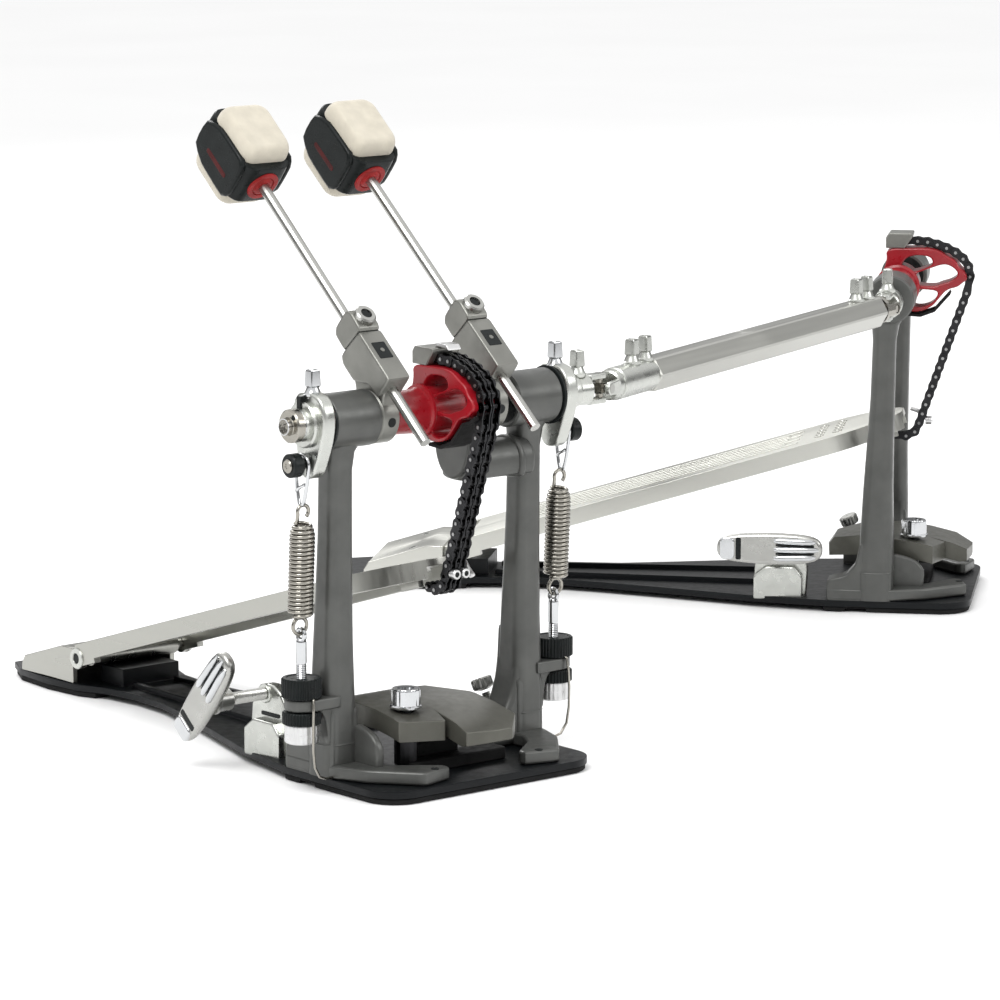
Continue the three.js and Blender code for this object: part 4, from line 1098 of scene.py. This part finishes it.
def drive_shaft():
    """Fork and sleeve at the main joint, and the hexagonal tube that takes the second pedal's bar."""
    place = at(*MAIN_JOINT) @ Matrix.Rotation(SHAFT_TURN + math.pi, 4, "Z")
    mesh = bmesh.new()
    fork(mesh, place, 18, True, mat=1)
    axis = place @ at(0, 0, AXLE_Z)
    lathe(mesh, [(16, 8.2), (16.8, 9.2), (59, 9.2), (60, 8.6)], 40, mat=1, place=axis @ FACING_X)
    rings = []
    end = SHAFT.length - 18
    for x, r in ((56, 9.6), (57, 10.3), (end - 0.8, 10.3), (end, 9.8), (end, 7.8), (end - 150, 7.7)):
        ring = []
        for k in range(6):
            for step in (-4, 4):
                a = math.radians(60 * k + step)
                ring.append((x, r * math.cos(a), r * math.sin(a)))
        rings.append(ring)
    loft(mesh, rings, 0, place=axis)
    for x in (39, 55):
        key_bolt(mesh, place @ at(x, 0, AXLE_Z + FORK_R), mat=1)
    for x in (28, 43):
        key_bolt(mesh, place @ at(SHAFT.length - x, 0, AXLE_Z + FORK_R + 0.6), mat=1)
    paints = ["tube", "aluminium", "satin"]
    piece("shaft_tube", mesh, paints, "drive_shaft", "drive_tube", HEX_SMOOTH)


def axle_fork(name, place, body):
    """The joint fork that a key bolt clamps on the end of an axle."""
    mesh = bmesh.new()
    fork(mesh, place, 28, False)
    lathe(mesh, [(19, 8.9), (20, 9.3), (26.5, 9.3), (27.6, 8.7)], 40, place=place @ ON_AXLE)
    key_bolt(mesh, place @ at(16, 0, AXLE_Z + FORK_R))
    piece(f"{name}_joint_fork", mesh, ["aluminium", "satin"], body, f"{name}_axle_fork")


# ---- Assembly ----
# Castings and plates that keep the CAD solid's shape, with the radius of their edges.
ROUNDED = {
    "base_plate": 0.7, "front_pad": 0.5, "heel_plate": 0.7, "footboard": 0.8, "clamp_rocker": 2,
    "chain_anchor": 0.8,
}
for side in SIDES:
    for make in (beater_head, spring_coil, spring_link, eyebolt, nuts, wire_clip, spring_lever, hub):
        make(side)
for pedal in PEDALS:
    for kind, width in ROUNDED.items():
        refined(f"{pedal}_{kind}", width)
    for side in SIDES:
        post(pedal, side)
    for make in (cam, chain, wing_lever, bracket, clamp_screw, clamp_rubber, spur_screw):
        make(pedal)
    for make in (toe_details, board_grip, heel_screws, hinge_ends):
        make(pedal)
axle_cap()
drive_shaft()
axle_fork("main", at(*MAIN_JOINT), "left_axle_body")
axle_fork("slave", SECOND @ at(JOINT_X, 0, 0) @ Matrix.Rotation(math.pi, 4, "Z"), "slave_axle_body")


# ---- Stage, light and camera, in metres ----
FLOOR_HALF = 30
FLOOR_Z = -0.0005
MIDDLE = (-0.2, -0.15, 0.15)
# Name, place, size and power of each lamp. All of them face the middle.
LAMPS = (
    ("key", (1.4, 0.6, 2.2), (1.2, 1.2), 38),
    ("fill", (-1.4, 2.2, 1.4), (1.4, 0.9), 16),
    ("back", (-0.8, -2.2, 1.6), (1.6, 0.8), 22),
)
# The sky's levels, from the horizon (0) to straight up (1).
SKY = ((0.0, 0.16), (0.2, 0.3), (0.42, 1.0), (1.0, 1.25))
LENS = 179.3
CAMERA_AT = (1.65935, 2.04285, 0.60143)
CAMERA_HEADING = math.radians(-129.84)
CAMERA_DIP = math.radians(9.75)


def aimed(data, location, forward):
    """An object for a lamp or camera, that looks along forward."""
    made = added(data.name, data)
    made.location = location
    made.rotation_euler = Vector(forward).to_track_quat("-Z", "Y").to_euler()
    return made


def area_light(name, location, size, power):
    data = bpy.data.lights.new(name, "AREA")
    data.shape = "RECTANGLE"
    data.size, data.size_y = size
    data.energy = power
    aimed(data, location, Vector(MIDDLE) - Vector(location))


def sky():
    """A white dome that darkens towards the horizon, so that polished metal has something to mirror."""
    world = bpy.data.worlds.new("studio")
    world.use_nodes = True
    tree = world.node_tree
    where = tree.nodes.new("ShaderNodeTexCoord")
    split = tree.nodes.new("ShaderNodeSeparateXYZ")
    ramp = tree.nodes.new("ShaderNodeValToRGB")
    while len(ramp.color_ramp.elements) < len(SKY):
        ramp.color_ramp.elements.new(0.5)
    for element, (height, level) in zip(ramp.color_ramp.elements, SKY):
        element.position = height
        element.color = (level, level, level, 1)
    tree.links.new(where.outputs["Generated"], split.inputs["Vector"])
    tree.links.new(split.outputs["Z"], ramp.inputs["Fac"])
    tree.links.new(ramp.outputs["Color"], tree.nodes["Background"].inputs["Color"])
    bpy.context.scene.world = world
    bpy.context.scene.view_settings.view_transform = "Standard"


def studio():
    """Pale floor, sky and lamps."""
    floor = bmesh.new()
    bmesh.ops.create_grid(floor, x_segments=1, y_segments=1, size=FLOOR_HALF)
    data = bpy.data.meshes.new("floor")
    floor.to_mesh(data)
    floor.free()
    pale = Surface("floor_white", (0.9, 0.9, 0.9), 0.0, 0.9)
    pale.tint(pale.noise(3, 2), 0.99, 1.01)
    data.materials.append(pale.material)
    made = added("floor", data)
    made.location.z = FLOOR_Z
    sky()
    for lamp in LAMPS:
        area_light(*lamp)


def camera():
    """Long lens from the drum's side of the pedals, ten degrees above level."""
    data = bpy.data.cameras.new("camera")
    data.sensor_width = 36
    data.lens = LENS
    data.clip_end = 50
    level = math.cos(CAMERA_DIP)
    forward = (math.cos(CAMERA_HEADING) * level, math.sin(CAMERA_HEADING) * level, -math.sin(CAMERA_DIP))
    bpy.context.scene.camera = aimed(data, CAMERA_AT, forward)


studio()
camera()
